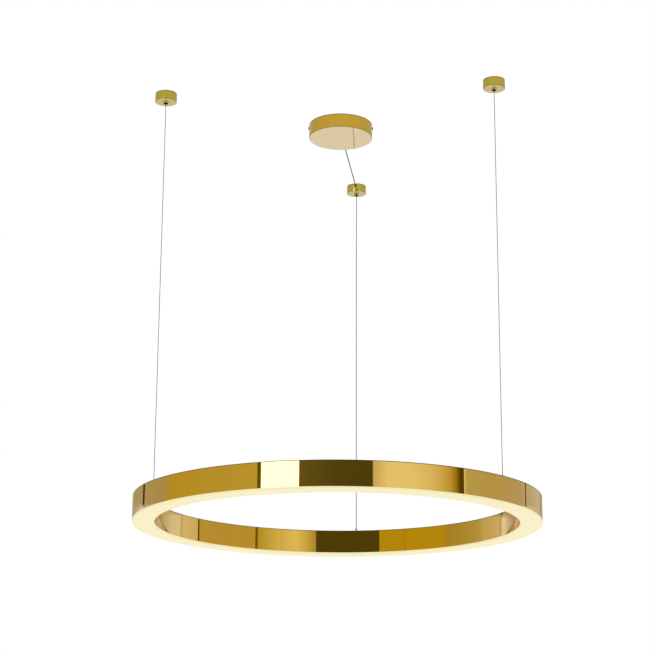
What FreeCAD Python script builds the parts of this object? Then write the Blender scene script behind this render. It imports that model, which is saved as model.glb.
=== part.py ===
# LED ring chandelier: a sheet-metal ring with an opal underside, hung level on two steel wires and one
# power-carrying cable from three ceiling caps, and fed from a round ceiling canopy.
# Millimetres, +Z up. Origin: on the ceiling plane, on the ring's axis. The rear line is on +Y.
import FreeCAD, Part
import math
import os

Vector = FreeCAD.Vector
UP = Vector(0, 0, 1)

# ---- the ring: polished sheet bands under a thin top plate
RING_OUTER_R = 400.0
SECTION_WIDTH = 43.5          # from the outer band's face to the inner band's face
RING_HEIGHT = 47.4
DROP = 796.6                  # from the ceiling to the ring's top face
BAND_SHEET = 1.0
TOP_SHEET = 1.2
EDGE_BREAK = 0.25             # polished bevel on the bands' lower edges

# ---- the carrier channel inside the ring
CHANNEL_WALL = 1.5
CHANNEL_GAP = 0.4             # between the channel's flanges and the bands
LEDGE_WIDTH = 2.0             # the flanges' inturned ledges, which hold the diffuser
LEDGE_SHEET = 1.2

# ---- the opal diffuser
DIFFUSER_SHEET = 2.8          # its plate lies under the bands and stands proud of them by this
DIFFUSER_INSET = 0.2          # from the bands' shown faces
DIFFUSER_EDGE = 0.6           # bevel of its lower corners
LEG_SHEET = 1.4
LEG_GAP = 0.2                 # between a snap leg and its ledge
HOOK_REACH = 1.2              # how far a leg's hook lies over the ledge
HOOK_HEIGHT = 1.6
SNAP_GAP = 0.2                # between the ledge and the diffuser's plate

# ---- the LED boards
BOARD_COUNT = 6
BOARD_WIDTH = 16.0
BOARD_SHEET = 1.5
BOARD_SPACE = 20.0            # between the ends of two boards, along the middle of the section
LEDS_PER_BOARD = 20
LED_SIDE = 3.0
LED_HEIGHT = 0.8
BOARD_SCREW_R = 1.5
BOARD_SCREW_HEAD_R = 2.8
BOARD_SCREW_HEAD = 1.6
BOARD_SCREW_STEPS = 3         # LED spacings from a board's middle to each of its two screws
SCREW_FIT = 0.05              # radial, between a screw's shank and its hole
CONNECTOR_LENGTH = 8.0
CONNECTOR_WIDTH = 5.0
CONNECTOR_HEIGHT = 2.6

# ---- studs that clamp the channel to the top plate
STUD_R = 2.0
STUD_LENGTH = 8.0
STUD_NUT_FLATS = 7.0
STUD_NUT_HEIGHT = 3.2

# ---- suspension: three lines at these angles from +X
LINE_ANGLES = {"rear": 90.0, "left": 210.0, "right": 330.0}
WIRE_R = 0.6                  # the two steel wires
CABLE_R = 0.75                # the rear cable, which also carries the power
BALL_MARGIN = 1.3             # a ferrule's ball is this much larger in radius than its line
SWAY_DEGREES = 8.0            # how far the lines lean when the ring sways
SWAY_CLEARANCE = 0.3

# ---- hanger sockets in the ring's top
SOCKET_COLLAR_R = 5.0
SOCKET_COLLAR_HEIGHT = 2.0    # above the top plate
SOCKET_COLLAR_EDGE = 0.5
SOCKET_SHANK_R = 4.0
SOCKET_SHANK_LENGTH = 9.0     # below the top plate's upper face
SOCKET_NUT_FLATS = 11.0
SOCKET_NUT_HEIGHT = 3.0
BALL_FIT = 0.05               # radial, between a ferrule's ball and its seat
BALL_DEPTH = 3.0              # from the top plate's upper face down to the ball's centre
FERRULE_SLEEVE = 12.0         # the ferrule's crimped sleeve, up the line from its ball's centre
FERRULE_WALL = 0.6
FERRULE_TAPER = 0.3           # at the sleeve's upper end
CRIMP_FIT = 0.02              # radial, between a line and its ferrule

# ---- ceiling caps
CAP_R = 21.55
CAP_HEIGHT = 17.7
CAP_SHEET = 1.2
CAP_FLOOR = 1.5
CAP_EDGE = 0.8                # rounding of the lower edge
BASE_DISC = 3.0
BASE_SKIRT = 3.5              # the threaded skirt's depth below the disc
BASE_SKIRT_WALL = 1.6
BASE_FIT = 0.15               # radial, between the skirt and the cap
FIXING_R = 2.5                # hole for the ceiling screw
FIXING_SINK_R = 4.7           # its countersink

# ---- grippers in the caps
COLLAR_R = 5.5
COLLAR_HEIGHT = 2.8           # below the cap
COLLAR_WALL = 0.8
COLLAR_RECESS = 2.2           # depth of its hollow, round the plunger
GRIPPER_R = 4.0
GRIPPER_LENGTH = 10.0         # above the cap's underside
GRIPPER_NUT_FLATS = 11.0
GRIPPER_NUT_HEIGHT = 3.0
CHAMBER_R = 3.05
CHAMBER_START = 1.5           # where the ball cone starts, above the cap's underside
CHAMBER_WIDE = 5.0            # where it reaches its full width
CHAMBER_ROOF = 1.0
CONE_R = 2.35
PLUNGER_R = 2.0
PLUNGER_FIT = 0.08
PLUNGER_BORE_R = 1.05
PLUNGER_TIP = 2.0             # below the collar
PLUNGER_TRAVEL = 2.0
PLUNGER_HEAD_R = 2.6
PLUNGER_HEAD = 0.8
PLUNGER_TOP = 5.2             # above the cap's underside
MOUTH_R = 1.6
MOUTH_DEPTH = 1.2
BALL_R = 0.9
BALL_LEVEL = 3.2              # the gripping balls' centres, above the cap's underside
GRIP_BALL_COUNT = 3
GRIP_FIT = 0.05
PIVOT_HEIGHT = 1.0            # the lines lean from a point this far above the plunger's mouth
SPRING_R = 1.8                # mean radius
SPRING_WIRE = 0.4             # the side of its square wire
SPRING_TURNS = 4
SPRING_SEAT = 0.05
WIRE_TAIL = 2.5               # a wire's cut end, above its gripper

# ---- ceiling canopy, a little off the ring's axis as hung
CANOPY_X = 3.0
CANOPY_Y = 11.0
CANOPY_TURN = 6.6             # the bracket's turn from +X, in degrees
CANOPY_R = 65.8
CANOPY_HEIGHT = 28.8
CANOPY_SHEET = 1.0
CANOPY_EDGE = 1.0
SIDE_SCREW_DEPTH = 6.5        # below the ceiling
SIDE_SCREW_R = 2.0
SIDE_SCREW_HEAD_R = 2.9
SIDE_SCREW_HEAD = 2.0
SIDE_SCREW_LENGTH = 8.0
SIDE_HOLE_FIT = 0.3
BRACKET_SHEET = 1.5
BRACKET_WIDTH = 28.0
EAR_WIDTH = 14.0
EAR_HEIGHT = 12.0
EAR_GAP = 0.8                 # between an ear and the canopy's wall
TAB_WIDTH = 30.0
TAB_LENGTH = 46.0             # from the bracket's middle to each tab's end
BRACKET_HOLES = 104.0         # between the two holes for ceiling screws
MAINS_HOLE_R = 7.0
MAINS_HOLE_PLACE = 23.5       # from the bracket's middle, on the front tab

# ---- what the bracket carries
DRIVER_LENGTH = 84.0
DRIVER_WIDTH = 29.0
DRIVER_HEIGHT = 20.0
DRIVER_LID = 2.0
DRIVER_CORNER = 2.0
LID_GROOVE_COUNT = 5
DRIVER_EAR = 6.0
DRIVER_EAR_SHEET = 2.5
BLOCK_LENGTH = 26.0
BLOCK_WIDTH = 13.0
BLOCK_HEIGHT = 12.0
BLOCK_PLACE = 38.5
BLOCK_POLE_COUNT = 3
POLE_R = 1.8
CLAMP_LENGTH = 22.0
CLAMP_WIDTH = 7.0
CLAMP_HEIGHT = 5.0
CLAMP_PLACE = 41.0
SMALL_SCREW_R = 1.5
SMALL_HEAD_R = 2.7
SMALL_HEAD = 1.8
EARTH_SCREW_PLACE = 20.0      # along the bracket's rear tab

# ---- leads
LEAD_R = 1.1                  # canopy to rear cap
LEAD_DEPTH = 4.6              # its axis below the ceiling
LEAD_FIT = 0.3                # clearance round it in a notch or hole
GROMMET_WALL = 0.8
GROMMET_LIP = 0.8
SPLICE_R = 1.5
SPLICE_LENGTH = 8.0
SPLICE_PLACE = 8.0            # from the rear cap's axis to the splice's near end
TAIL_BEND_R = 3.0
INPUT_LEAD_R = 2.0
RING_LEAD_R = 1.0
TERMINAL_LENGTH = 12.0
TERMINAL_WIDTH = 8.0
TERMINAL_HEIGHT = 7.0
TERMINAL_ANGLE = 4.6          # from the rear hanger to the ring's terminal, in degrees

# ---- places worked out from the sizes above
RING_INNER_R = RING_OUTER_R - SECTION_WIDTH
MIDDLE_R = RING_OUTER_R - SECTION_WIDTH / 2
RING_TOP = -DROP
RING_BOTTOM = RING_TOP - RING_HEIGHT
PLATE_UNDERSIDE = RING_TOP - TOP_SHEET
WEB_UNDERSIDE = PLATE_UNDERSIDE - CHANNEL_WALL
CHANNEL_OUTER_R = RING_OUTER_R - BAND_SHEET - CHANNEL_GAP
CHANNEL_INNER_R = RING_INNER_R + BAND_SHEET + CHANNEL_GAP
DIFFUSER_TOP = RING_BOTTOM
DIFFUSER_BOTTOM = DIFFUSER_TOP - DIFFUSER_SHEET
LEDGE_BOTTOM = DIFFUSER_TOP + SNAP_GAP
LEDGE_TOP = LEDGE_BOTTOM + LEDGE_SHEET
BALL_Z = RING_TOP - BALL_DEPTH
CAP_UNDERSIDE = -CAP_HEIGHT
COLLAR_BOTTOM = CAP_UNDERSIDE - COLLAR_HEIGHT
PLUNGER_BOTTOM = COLLAR_BOTTOM - PLUNGER_TIP
PIVOT_Z = PLUNGER_BOTTOM + PIVOT_HEIGHT
GRIPPER_TOP = CAP_UNDERSIDE + GRIPPER_LENGTH
CHAMBER_TOP = GRIPPER_TOP - CHAMBER_ROOF
CANOPY_BORE_R = CANOPY_R - CANOPY_SHEET
EAR_FACE = math.sqrt(CANOPY_BORE_R ** 2 - (EAR_WIDTH / 2) ** 2) - EAR_GAP
DRIVER_BOTTOM = -BRACKET_SHEET - DRIVER_HEIGHT
LEAD_AXIS = -LEAD_DEPTH


# ---------------------------------------------------------------- building helpers
def turned(profile, centre=(0.0, 0.0)):
    """A solid of revolution about a vertical axis, from (radius, height) corners in order."""
    corners = [Vector(radius, 0, height) for radius, height in profile]
    face = Part.Face(Part.makePolygon(corners + corners[:1]))
    solid = face.revolve(Vector(0, 0, 0), UP, 360)
    solid.translate(Vector(centre[0], centre[1], 0))
    return solid


def post(radius, low, high, centre=(0.0, 0.0)):
    """A vertical round bar."""
    return Part.makeCylinder(radius, high - low, Vector(centre[0], centre[1], low))


def tube(outer, inner, low, high, centre=(0.0, 0.0)):
    """A vertical tube."""
    return turned([(inner, low), (outer, low), (outer, high), (inner, high)], centre)


def block(length, width, low, high, centre=(0.0, 0.0)):
    """An upright box, centred in X and Y."""
    corner = Vector(centre[0] - length / 2, centre[1] - width / 2, low)
    return Part.makeBox(length, width, high - low, corner)


def hexagon(flats, low, high, centre=(0.0, 0.0)):
    """A hexagonal prism, as for a nut."""
    reach = flats / math.sqrt(3)
    corners = []
    for side in range(6):
        angle = math.radians(60 * side)
        corners.append(Vector(centre[0] + reach * math.cos(angle), centre[1] + reach * math.sin(angle), low))
    face = Part.Face(Part.makePolygon(corners + corners[:1]))
    return face.extrude(Vector(0, 0, high - low))


def pan_screw(head_r, head, shank_r, shank, seat, centre=(0.0, 0.0)):
    """A screw driven upwards: its round head hangs below the seat, its shank rises above it."""
    return post(head_r, seat - head, seat, centre).fuse(post(shank_r, seat, seat + shank, centre))


def turned_about(solid, degrees, centre=(0.0, 0.0)):
    """The solid, turned about a vertical axis."""
    copy = solid.copy()
    copy.rotate(Vector(centre[0], centre[1], 0), UP, degrees)
    return copy


def polar(radius, degrees):
    """A plan position from a radius and an angle."""
    angle = math.radians(degrees)
    return radius * math.cos(angle), radius * math.sin(angle)


def line_place(name):
    """Where a suspension line stands in plan."""
    return polar(MIDDLE_R, LINE_ANGLES[name])


def line_radius(name):
    """The radius of a suspension line."""
    return CABLE_R if name == "rear" else WIRE_R


def tube_along(points, radius, name):
    """A round lead through the points, as straight runs joined by tangent arcs; prints the arcs' radii."""
    corners = [Vector(*place) for place in points]
    edges = []
    radii = []
    start = corners[0]
    for before, corner, after in zip(corners, corners[1:], corners[2:]):
        back = before.sub(corner)
        ahead = after.sub(corner)
        turn = math.pi - back.getAngle(ahead)
        reach = 0.45 * min(back.Length, ahead.Length)
        arc_start = corner.add(Vector(back).normalize().multiply(reach))
        arc_end = corner.add(Vector(ahead).normalize().multiply(reach))
        arc_r = reach / math.tan(turn / 2)
        halfway = Vector(back).normalize().add(Vector(ahead).normalize()).normalize()
        apex = corner.add(halfway.multiply(arc_r / math.cos(turn / 2) - arc_r))
        edges.append(Part.LineSegment(start, arc_start).toShape())
        edges.append(Part.Arc(arc_start, apex, arc_end).toShape())
        radii.append(round(arc_r, 1))
        start = arc_end
    edges.append(Part.LineSegment(start, corners[-1]).toShape())
    path = Part.Wire(edges)
    section = Part.Wire([Part.makeCircle(radius, corners[0], corners[1].sub(corners[0]))])
    lead = path.makePipeShell([section], True, False)
    length = path.Length
    print(name, "length", round(length, 1), "arc radii", radii,
          "volume share", round(lead.Volume / (math.pi * radius ** 2 * length), 4))
    return lead


def save(node, solids):
    """Write one named sub-part as a STEP file."""
    shape = solids[0] if len(solids) == 1 else Part.makeCompound(solids)
    shape.exportStep("parts/" + node + ".step")


# ---------------------------------------------------------------- the ring
def band(face_r, back_r):
    """A rolled strip with a polished lower edge, from its shown face to its back."""
    way = 1 if back_r > face_r else -1
    profile = [
        (face_r + way * EDGE_BREAK, RING_BOTTOM),
        (back_r, RING_BOTTOM),
        (back_r, PLATE_UNDERSIDE),
        (face_r, PLATE_UNDERSIDE),
        (face_r, RING_BOTTOM + EDGE_BREAK),
    ]
    return turned(profile)


def stud_angles():
    """The channel's studs stand halfway between the lines."""
    return [angle + 60 for angle in LINE_ANGLES.values()]


def top_plate():
    plate = tube(RING_OUTER_R, RING_INNER_R, PLATE_UNDERSIDE, RING_TOP)
    for name in LINE_ANGLES:
        plate = plate.cut(post(SOCKET_SHANK_R + SCREW_FIT, PLATE_UNDERSIDE - 1, RING_TOP + 1, line_place(name)))
    return plate


def board_middles():
    """The angle of each LED board's middle: the gaps between boards fall on the lines and the studs."""
    step = 360 / BOARD_COUNT
    return [LINE_ANGLES["rear"] + step * (number + 0.5) for number in range(BOARD_COUNT)]


def board_half():
    """Half the angle that a board covers."""
    return 180 / BOARD_COUNT - math.degrees(BOARD_SPACE / 2 / MIDDLE_R)


def led_step():
    """The angle between two LEDs."""
    return 2 * board_half() / LEDS_PER_BOARD


def board_screw_places():
    """A board's two screws stand between LEDs."""
    places = []
    for middle in board_middles():
        for side in (-1, 1):
            places.append(polar(MIDDLE_R, middle + side * BOARD_SCREW_STEPS * led_step()))
    return places


def carrier_channel():
    """A U channel, open downwards, whose flanges end in inturned ledges."""
    inner = CHANNEL_INNER_R + CHANNEL_WALL
    outer = CHANNEL_OUTER_R - CHANNEL_WALL
    profile = [
        (CHANNEL_INNER_R, PLATE_UNDERSIDE),
        (CHANNEL_INNER_R, LEDGE_BOTTOM),
        (inner + LEDGE_WIDTH, LEDGE_BOTTOM),
        (inner + LEDGE_WIDTH, LEDGE_TOP),
        (inner, LEDGE_TOP),
        (inner, WEB_UNDERSIDE),
        (outer, WEB_UNDERSIDE),
        (outer, LEDGE_TOP),
        (outer - LEDGE_WIDTH, LEDGE_TOP),
        (outer - LEDGE_WIDTH, LEDGE_BOTTOM),
        (CHANNEL_OUTER_R, LEDGE_BOTTOM),
        (CHANNEL_OUTER_R, PLATE_UNDERSIDE),
    ]
    holes = []
    for name in LINE_ANGLES:
        holes.append(post(SOCKET_SHANK_R + SCREW_FIT, WEB_UNDERSIDE - 1, PLATE_UNDERSIDE + 1, line_place(name)))
    for angle in stud_angles():
        holes.append(post(STUD_R + SCREW_FIT, WEB_UNDERSIDE - 1, PLATE_UNDERSIDE + 1, polar(MIDDLE_R, angle)))
    for place in board_screw_places():
        holes.append(post(BOARD_SCREW_R + SCREW_FIT, WEB_UNDERSIDE - 1, PLATE_UNDERSIDE + 1, place))
    return turned(profile).cut(Part.makeCompound(holes))


def diffuser():
    """The opal plate under both bands, with two upright legs whose hooks lie on the channel's ledges."""
    ledge_in = CHANNEL_INNER_R + CHANNEL_WALL + LEDGE_WIDTH
    ledge_out = CHANNEL_OUTER_R - CHANNEL_WALL - LEDGE_WIDTH
    leg_in = ledge_in + LEG_GAP
    leg_out = ledge_out - LEG_GAP
    plate_in = RING_INNER_R + DIFFUSER_INSET
    plate_out = RING_OUTER_R - DIFFUSER_INSET
    profile = [
        (plate_in + DIFFUSER_EDGE, DIFFUSER_BOTTOM),
        (plate_out - DIFFUSER_EDGE, DIFFUSER_BOTTOM),
        (plate_out, DIFFUSER_BOTTOM + DIFFUSER_EDGE),
        (plate_out, DIFFUSER_TOP),
        (leg_out, DIFFUSER_TOP),
        (leg_out, LEDGE_TOP),
        (leg_out + HOOK_REACH, LEDGE_TOP),
        (leg_out, LEDGE_TOP + HOOK_HEIGHT),
        (leg_out - LEG_SHEET, LEDGE_TOP + HOOK_HEIGHT),
        (leg_out - LEG_SHEET, DIFFUSER_TOP),
        (leg_in + LEG_SHEET, DIFFUSER_TOP),
        (leg_in + LEG_SHEET, LEDGE_TOP + HOOK_HEIGHT),
        (leg_in, LEDGE_TOP + HOOK_HEIGHT),
        (leg_in - HOOK_REACH, LEDGE_TOP),
        (leg_in, LEDGE_TOP),
        (leg_in, DIFFUSER_TOP),
        (plate_in, DIFFUSER_TOP),
        (plate_in, DIFFUSER_BOTTOM + DIFFUSER_EDGE),
    ]
    return turned(profile)


def led_board(middle):
    """One curved board, with the holes for its two screws."""
    half = board_half()
    corners = [
        Vector(MIDDLE_R - BOARD_WIDTH / 2, 0, WEB_UNDERSIDE - BOARD_SHEET),
        Vector(MIDDLE_R + BOARD_WIDTH / 2, 0, WEB_UNDERSIDE - BOARD_SHEET),
        Vector(MIDDLE_R + BOARD_WIDTH / 2, 0, WEB_UNDERSIDE),
        Vector(MIDDLE_R - BOARD_WIDTH / 2, 0, WEB_UNDERSIDE),
    ]
    face = Part.Face(Part.makePolygon(corners + corners[:1]))
    board = turned_about(face.revolve(Vector(0, 0, 0), UP, 2 * half), -half)
    for side in (-1, 1):
        place = polar(MIDDLE_R, side * BOARD_SCREW_STEPS * led_step())
        hole = post(BOARD_SCREW_R + SCREW_FIT, WEB_UNDERSIDE - BOARD_SHEET - 1, WEB_UNDERSIDE + 1, place)
        board = board.cut(hole)
    return turned_about(board, middle)


def led_chips():
    """The LEDs, evenly spaced on each board, on its underside."""
    chips = []
    low = WEB_UNDERSIDE - BOARD_SHEET - LED_HEIGHT
    for middle in board_middles():
        for number in range(LEDS_PER_BOARD):
            chip = block(LED_SIDE, LED_SIDE, low, low + LED_HEIGHT, (MIDDLE_R, 0))
            chips.append(turned_about(chip, middle - board_half() + led_step() * (number + 0.5)))
    return chips


def board_connectors():
    """Two small plug housings per board, one at each end, for the jumper to the next board."""
    top = WEB_UNDERSIDE - BOARD_SHEET
    half = 180 / BOARD_COUNT - math.degrees((BOARD_SPACE + CONNECTOR_LENGTH) / 2 / MIDDLE_R)
    place = (MIDDLE_R + BOARD_WIDTH / 2 - CONNECTOR_WIDTH / 2, 0)
    housing = block(CONNECTOR_WIDTH, CONNECTOR_LENGTH, top - CONNECTOR_HEIGHT, top, place)
    slot = block(CONNECTOR_WIDTH - 1.6, CONNECTOR_LENGTH, top - CONNECTOR_HEIGHT + 0.6, top - 0.6, place)
    slot.translate(Vector(0, CONNECTOR_LENGTH / 2, 0))
    housing = housing.cut(slot)
    other = housing.mirror(Vector(0, 0, 0), Vector(0, 1, 0))
    made = []
    for middle in board_middles():
        made.append(turned_about(housing, middle + half))
        made.append(turned_about(other, middle - half))
    return made


def board_screws():
    """Screws that hold the boards to the channel's web."""
    seat = WEB_UNDERSIDE - BOARD_SHEET
    reach = BOARD_SHEET + CHANNEL_WALL
    return [pan_screw(BOARD_SCREW_HEAD_R, BOARD_SCREW_HEAD, BOARD_SCREW_R, reach, seat, place)
            for place in board_screw_places()]


def channel_studs():
    """Studs welded to the top plate's underside."""
    return [post(STUD_R, PLATE_UNDERSIDE - STUD_LENGTH, PLATE_UNDERSIDE, polar(MIDDLE_R, angle))
            for angle in stud_angles()]


def channel_nuts():
    nuts = []
    for angle in stud_angles():
        place = polar(MIDDLE_R, angle)
        nut = hexagon(STUD_NUT_FLATS, WEB_UNDERSIDE - STUD_NUT_HEIGHT, WEB_UNDERSIDE, place)
        bore = post(STUD_R + SCREW_FIT, WEB_UNDERSIDE - STUD_NUT_HEIGHT - 1, WEB_UNDERSIDE + 1, place)
        nuts.append(nut.cut(bore))
    return nuts


# ---------------------------------------------------------------- the hangers
def ball_radius(name):
    return line_radius(name) + BALL_MARGIN


def sleeve_radius(name):
    return line_radius(name) + FERRULE_WALL


def hanger_socket(name):
    """A turned collar through the ring's top, with a round seat for the ferrule's ball and a mouth that flares
    so that the ferrule can lean."""
    place = line_place(name)
    seat_r = ball_radius(name) + BALL_FIT
    throat_r = sleeve_radius(name) + SWAY_CLEARANCE
    top = RING_TOP + SOCKET_COLLAR_HEIGHT
    mouth_r = throat_r + (top - BALL_Z) * math.tan(math.radians(SWAY_DEGREES))
    bottom = RING_TOP - SOCKET_SHANK_LENGTH
    body = turned([
        (0, bottom),
        (SOCKET_SHANK_R, bottom),
        (SOCKET_SHANK_R, RING_TOP),
        (SOCKET_COLLAR_R, RING_TOP),
        (SOCKET_COLLAR_R, top - SOCKET_COLLAR_EDGE),
        (SOCKET_COLLAR_R - SOCKET_COLLAR_EDGE, top),
        (mouth_r, top),
        (throat_r, BALL_Z),
        (0, BALL_Z),
    ], place)
    seat = Part.makeSphere(seat_r, Vector(place[0], place[1], BALL_Z))
    well = post(seat_r, bottom - 1, BALL_Z, place)
    return body.cut(seat).cut(well)


def hanger_nut(name):
    place = line_place(name)
    nut = hexagon(SOCKET_NUT_FLATS, WEB_UNDERSIDE - SOCKET_NUT_HEIGHT, WEB_UNDERSIDE, place)
    bore = post(SOCKET_SHANK_R + SCREW_FIT, WEB_UNDERSIDE - SOCKET_NUT_HEIGHT - 1, WEB_UNDERSIDE + 1, place)
    return nut.cut(bore)


def ferrule(name):
    """A ball with a sleeve crimped onto the line above it; the line ends inside the ball."""
    place = line_place(name)
    ball = Part.makeSphere(ball_radius(name), Vector(place[0], place[1], BALL_Z))
    sleeve_r = sleeve_radius(name)
    top = BALL_Z + FERRULE_SLEEVE
    sleeve = turned([
        (0, BALL_Z),
        (sleeve_r, BALL_Z),
        (sleeve_r, top - FERRULE_TAPER),
        (sleeve_r - FERRULE_TAPER, top),
        (0, top),
    ], place)
    bore = post(line_radius(name) + CRIMP_FIT, BALL_Z, top + 1, place)
    return ball.fuse(sleeve).cut(bore).removeSplitter()


def suspension_line(name):
    """A line pulled straight by the ring, from the point where it leans to its ferrule."""
    return post(line_radius(name), BALL_Z, PIVOT_Z, line_place(name))


# ---------------------------------------------------------------- the ceiling caps
def lead_passage(x, y_start, y_end, radius, top):
    """A slot open at the top, with a round bottom on the lead's axis, running along Y."""
    way = Vector(0, 1, 0)
    slot = Part.makeBox(2 * radius, y_end - y_start, top - LEAD_AXIS, Vector(x - radius, y_start, LEAD_AXIS))
    return slot.fuse(Part.makeCylinder(radius, y_end - y_start, Vector(x, y_start, LEAD_AXIS), way))


def cap_base(name):
    """The turned disc that is screwed to the ceiling; the cap is threaded onto its skirt."""
    place = line_place(name)
    skirt_r = CAP_R - CAP_SHEET - BASE_FIT
    sink = FIXING_SINK_R - FIXING_R
    bottom = -BASE_DISC - BASE_SKIRT
    base = turned([
        (FIXING_R, 0),
        (skirt_r, 0),
        (skirt_r, bottom),
        (skirt_r - BASE_SKIRT_WALL, bottom),
        (skirt_r - BASE_SKIRT_WALL, -BASE_DISC),
        (FIXING_SINK_R, -BASE_DISC),
        (FIXING_R, -BASE_DISC + sink),
    ], place)
    if name == "rear":
        reach = LEAD_R + GROMMET_WALL + GROMMET_LIP + LEAD_FIT
        middle = (place[0], place[1] - skirt_r + BASE_SKIRT_WALL / 2)
        base = base.cut(block(2 * reach, 2 * BASE_SKIRT_WALL, bottom - 1, LEAD_AXIS + reach, middle))
    return base


def cap_cover(name):
    """The spun cap, with its rounded lower edge and the hole for its gripper."""
    place = line_place(name)
    cup = post(CAP_R, CAP_UNDERSIDE, 0, place)
    lower_rim = [edge for edge in cup.Edges if abs(edge.CenterOfMass.z - CAP_UNDERSIDE) < 0.001 and edge.Length > 1]
    cup = cup.makeFillet(CAP_EDGE, lower_rim)
    cup = cup.cut(post(CAP_R - CAP_SHEET, CAP_UNDERSIDE + CAP_FLOOR, 1, place))
    cup = cup.cut(post(GRIPPER_R + SCREW_FIT, CAP_UNDERSIDE - 1, CAP_UNDERSIDE + CAP_FLOOR + 1, place))
    if name == "rear":
        wall = place[1] - CAP_R
        cup = cup.cut(lead_passage(place[0], wall - 1, wall + CAP_SHEET + 2, LEAD_R + GROMMET_WALL, 1))
    return cup


def grommet(x, wall_outside, wall_sheet, notched):
    """A rubber grommet in a wall's notch, grooved over the notched wall, with the lead in its bore."""
    way = Vector(0, 1, 0)
    outer = LEAD_R + GROMMET_WALL

    def disc(radius, start, length):
        return Part.makeCylinder(radius, length, Vector(x, start, LEAD_AXIS), way)

    body = disc(outer, wall_outside - GROMMET_LIP, wall_sheet + 2 * GROMMET_LIP)
    front = disc(outer + GROMMET_LIP, wall_outside - GROMMET_LIP, GROMMET_LIP)
    back = disc(outer + GROMMET_LIP, wall_outside + wall_sheet, GROMMET_LIP)
    bore = disc(LEAD_R, wall_outside - GROMMET_LIP - 1, wall_sheet + 2 * GROMMET_LIP + 2)
    return body.fuse([front, back]).cut(bore).removeSplitter().cut(notched)


def gripper_body(name):
    """The gripper's body: hollow collar under the cap, shank through its floor, and the balls' cone inside."""
    place = line_place(name)
    level = CAP_UNDERSIDE
    guide_r = PLUNGER_R + PLUNGER_FIT
    return turned([
        (guide_r, COLLAR_BOTTOM + COLLAR_RECESS),
        (COLLAR_R - COLLAR_WALL, COLLAR_BOTTOM + COLLAR_RECESS),
        (COLLAR_R - COLLAR_WALL, COLLAR_BOTTOM),
        (COLLAR_R, COLLAR_BOTTOM),
        (COLLAR_R, level),
        (GRIPPER_R, level),
        (GRIPPER_R, GRIPPER_TOP),
        (PLUNGER_BORE_R, GRIPPER_TOP),
        (PLUNGER_BORE_R, CHAMBER_TOP),
        (CHAMBER_R, CHAMBER_TOP),
        (CHAMBER_R, level + CHAMBER_WIDE),
        (CONE_R, level + CHAMBER_START),
        (guide_r, level + CHAMBER_START),
    ], place)


def gripper_nut(name):
    place = line_place(name)
    seat = CAP_UNDERSIDE + CAP_FLOOR
    nut = hexagon(GRIPPER_NUT_FLATS, seat, seat + GRIPPER_NUT_HEIGHT, place)
    return nut.cut(post(GRIPPER_R + SCREW_FIT, seat - 1, seat + GRIPPER_NUT_HEIGHT + 1, place))


def ball_ring_radius(name):
    return line_radius(name) + BALL_R + GRIP_FIT


def plunger(name):
    """The release plunger: a tube with a flared mouth, a head under the spring and windows for the balls."""
    place = line_place(name)
    level = CAP_UNDERSIDE
    body = turned([
        (MOUTH_R, PLUNGER_BOTTOM),
        (PLUNGER_R, PLUNGER_BOTTOM),
        (PLUNGER_R, level + PLUNGER_TOP - PLUNGER_HEAD),
        (PLUNGER_HEAD_R, level + PLUNGER_TOP - PLUNGER_HEAD),
        (PLUNGER_HEAD_R, level + PLUNGER_TOP),
        (PLUNGER_BORE_R, level + PLUNGER_TOP),
        (PLUNGER_BORE_R, PLUNGER_BOTTOM + MOUTH_DEPTH),
    ], place)
    for number in range(GRIP_BALL_COUNT):
        angle = math.radians(LINE_ANGLES[name] + 360 / GRIP_BALL_COUNT * number)
        way = Vector(math.cos(angle), math.sin(angle), 0)
        start = Vector(place[0], place[1], level + BALL_LEVEL)
        body = body.cut(Part.makeCylinder(BALL_R + GRIP_FIT, PLUNGER_R + 1, start, way))
    return body


def grip_balls(name):
    place = line_place(name)
    balls = []
    for number in range(GRIP_BALL_COUNT):
        angle = LINE_ANGLES[name] + 360 / GRIP_BALL_COUNT * number
        offset = polar(ball_ring_radius(name), angle)
        centre = Vector(place[0] + offset[0], place[1] + offset[1], CAP_UNDERSIDE + BALL_LEVEL)
        balls.append(Part.makeSphere(BALL_R, centre))
    return balls


def plunger_spring(name):
    """The compression spring between the plunger's head and the chamber's roof."""
    place = line_place(name)
    low = CAP_UNDERSIDE + PLUNGER_TOP + SPRING_WIRE / 2 + SPRING_SEAT
    high = CHAMBER_TOP - SPRING_WIRE / 2 - SPRING_SEAT
    pitch = (high - low) / SPRING_TURNS
    helix = Part.makeHelix(pitch, high - low, SPRING_R)
    half = SPRING_WIRE / 2
    corners = [Vector(SPRING_R - half, 0, -half), Vector(SPRING_R + half, 0, -half),
               Vector(SPRING_R + half, 0, half), Vector(SPRING_R - half, 0, half)]
    section = Part.makePolygon(corners + corners[:1])
    spring = Part.Wire(helix.Edges).makePipeShell([section], True, True)
    spring.translate(Vector(place[0], place[1], low))
    return spring


def wire_tail(name):
    """The wire inside its gripper, up to its cut end in the cap."""
    return post(WIRE_R, PIVOT_Z, GRIPPER_TOP + WIRE_TAIL, line_place(name))


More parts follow.
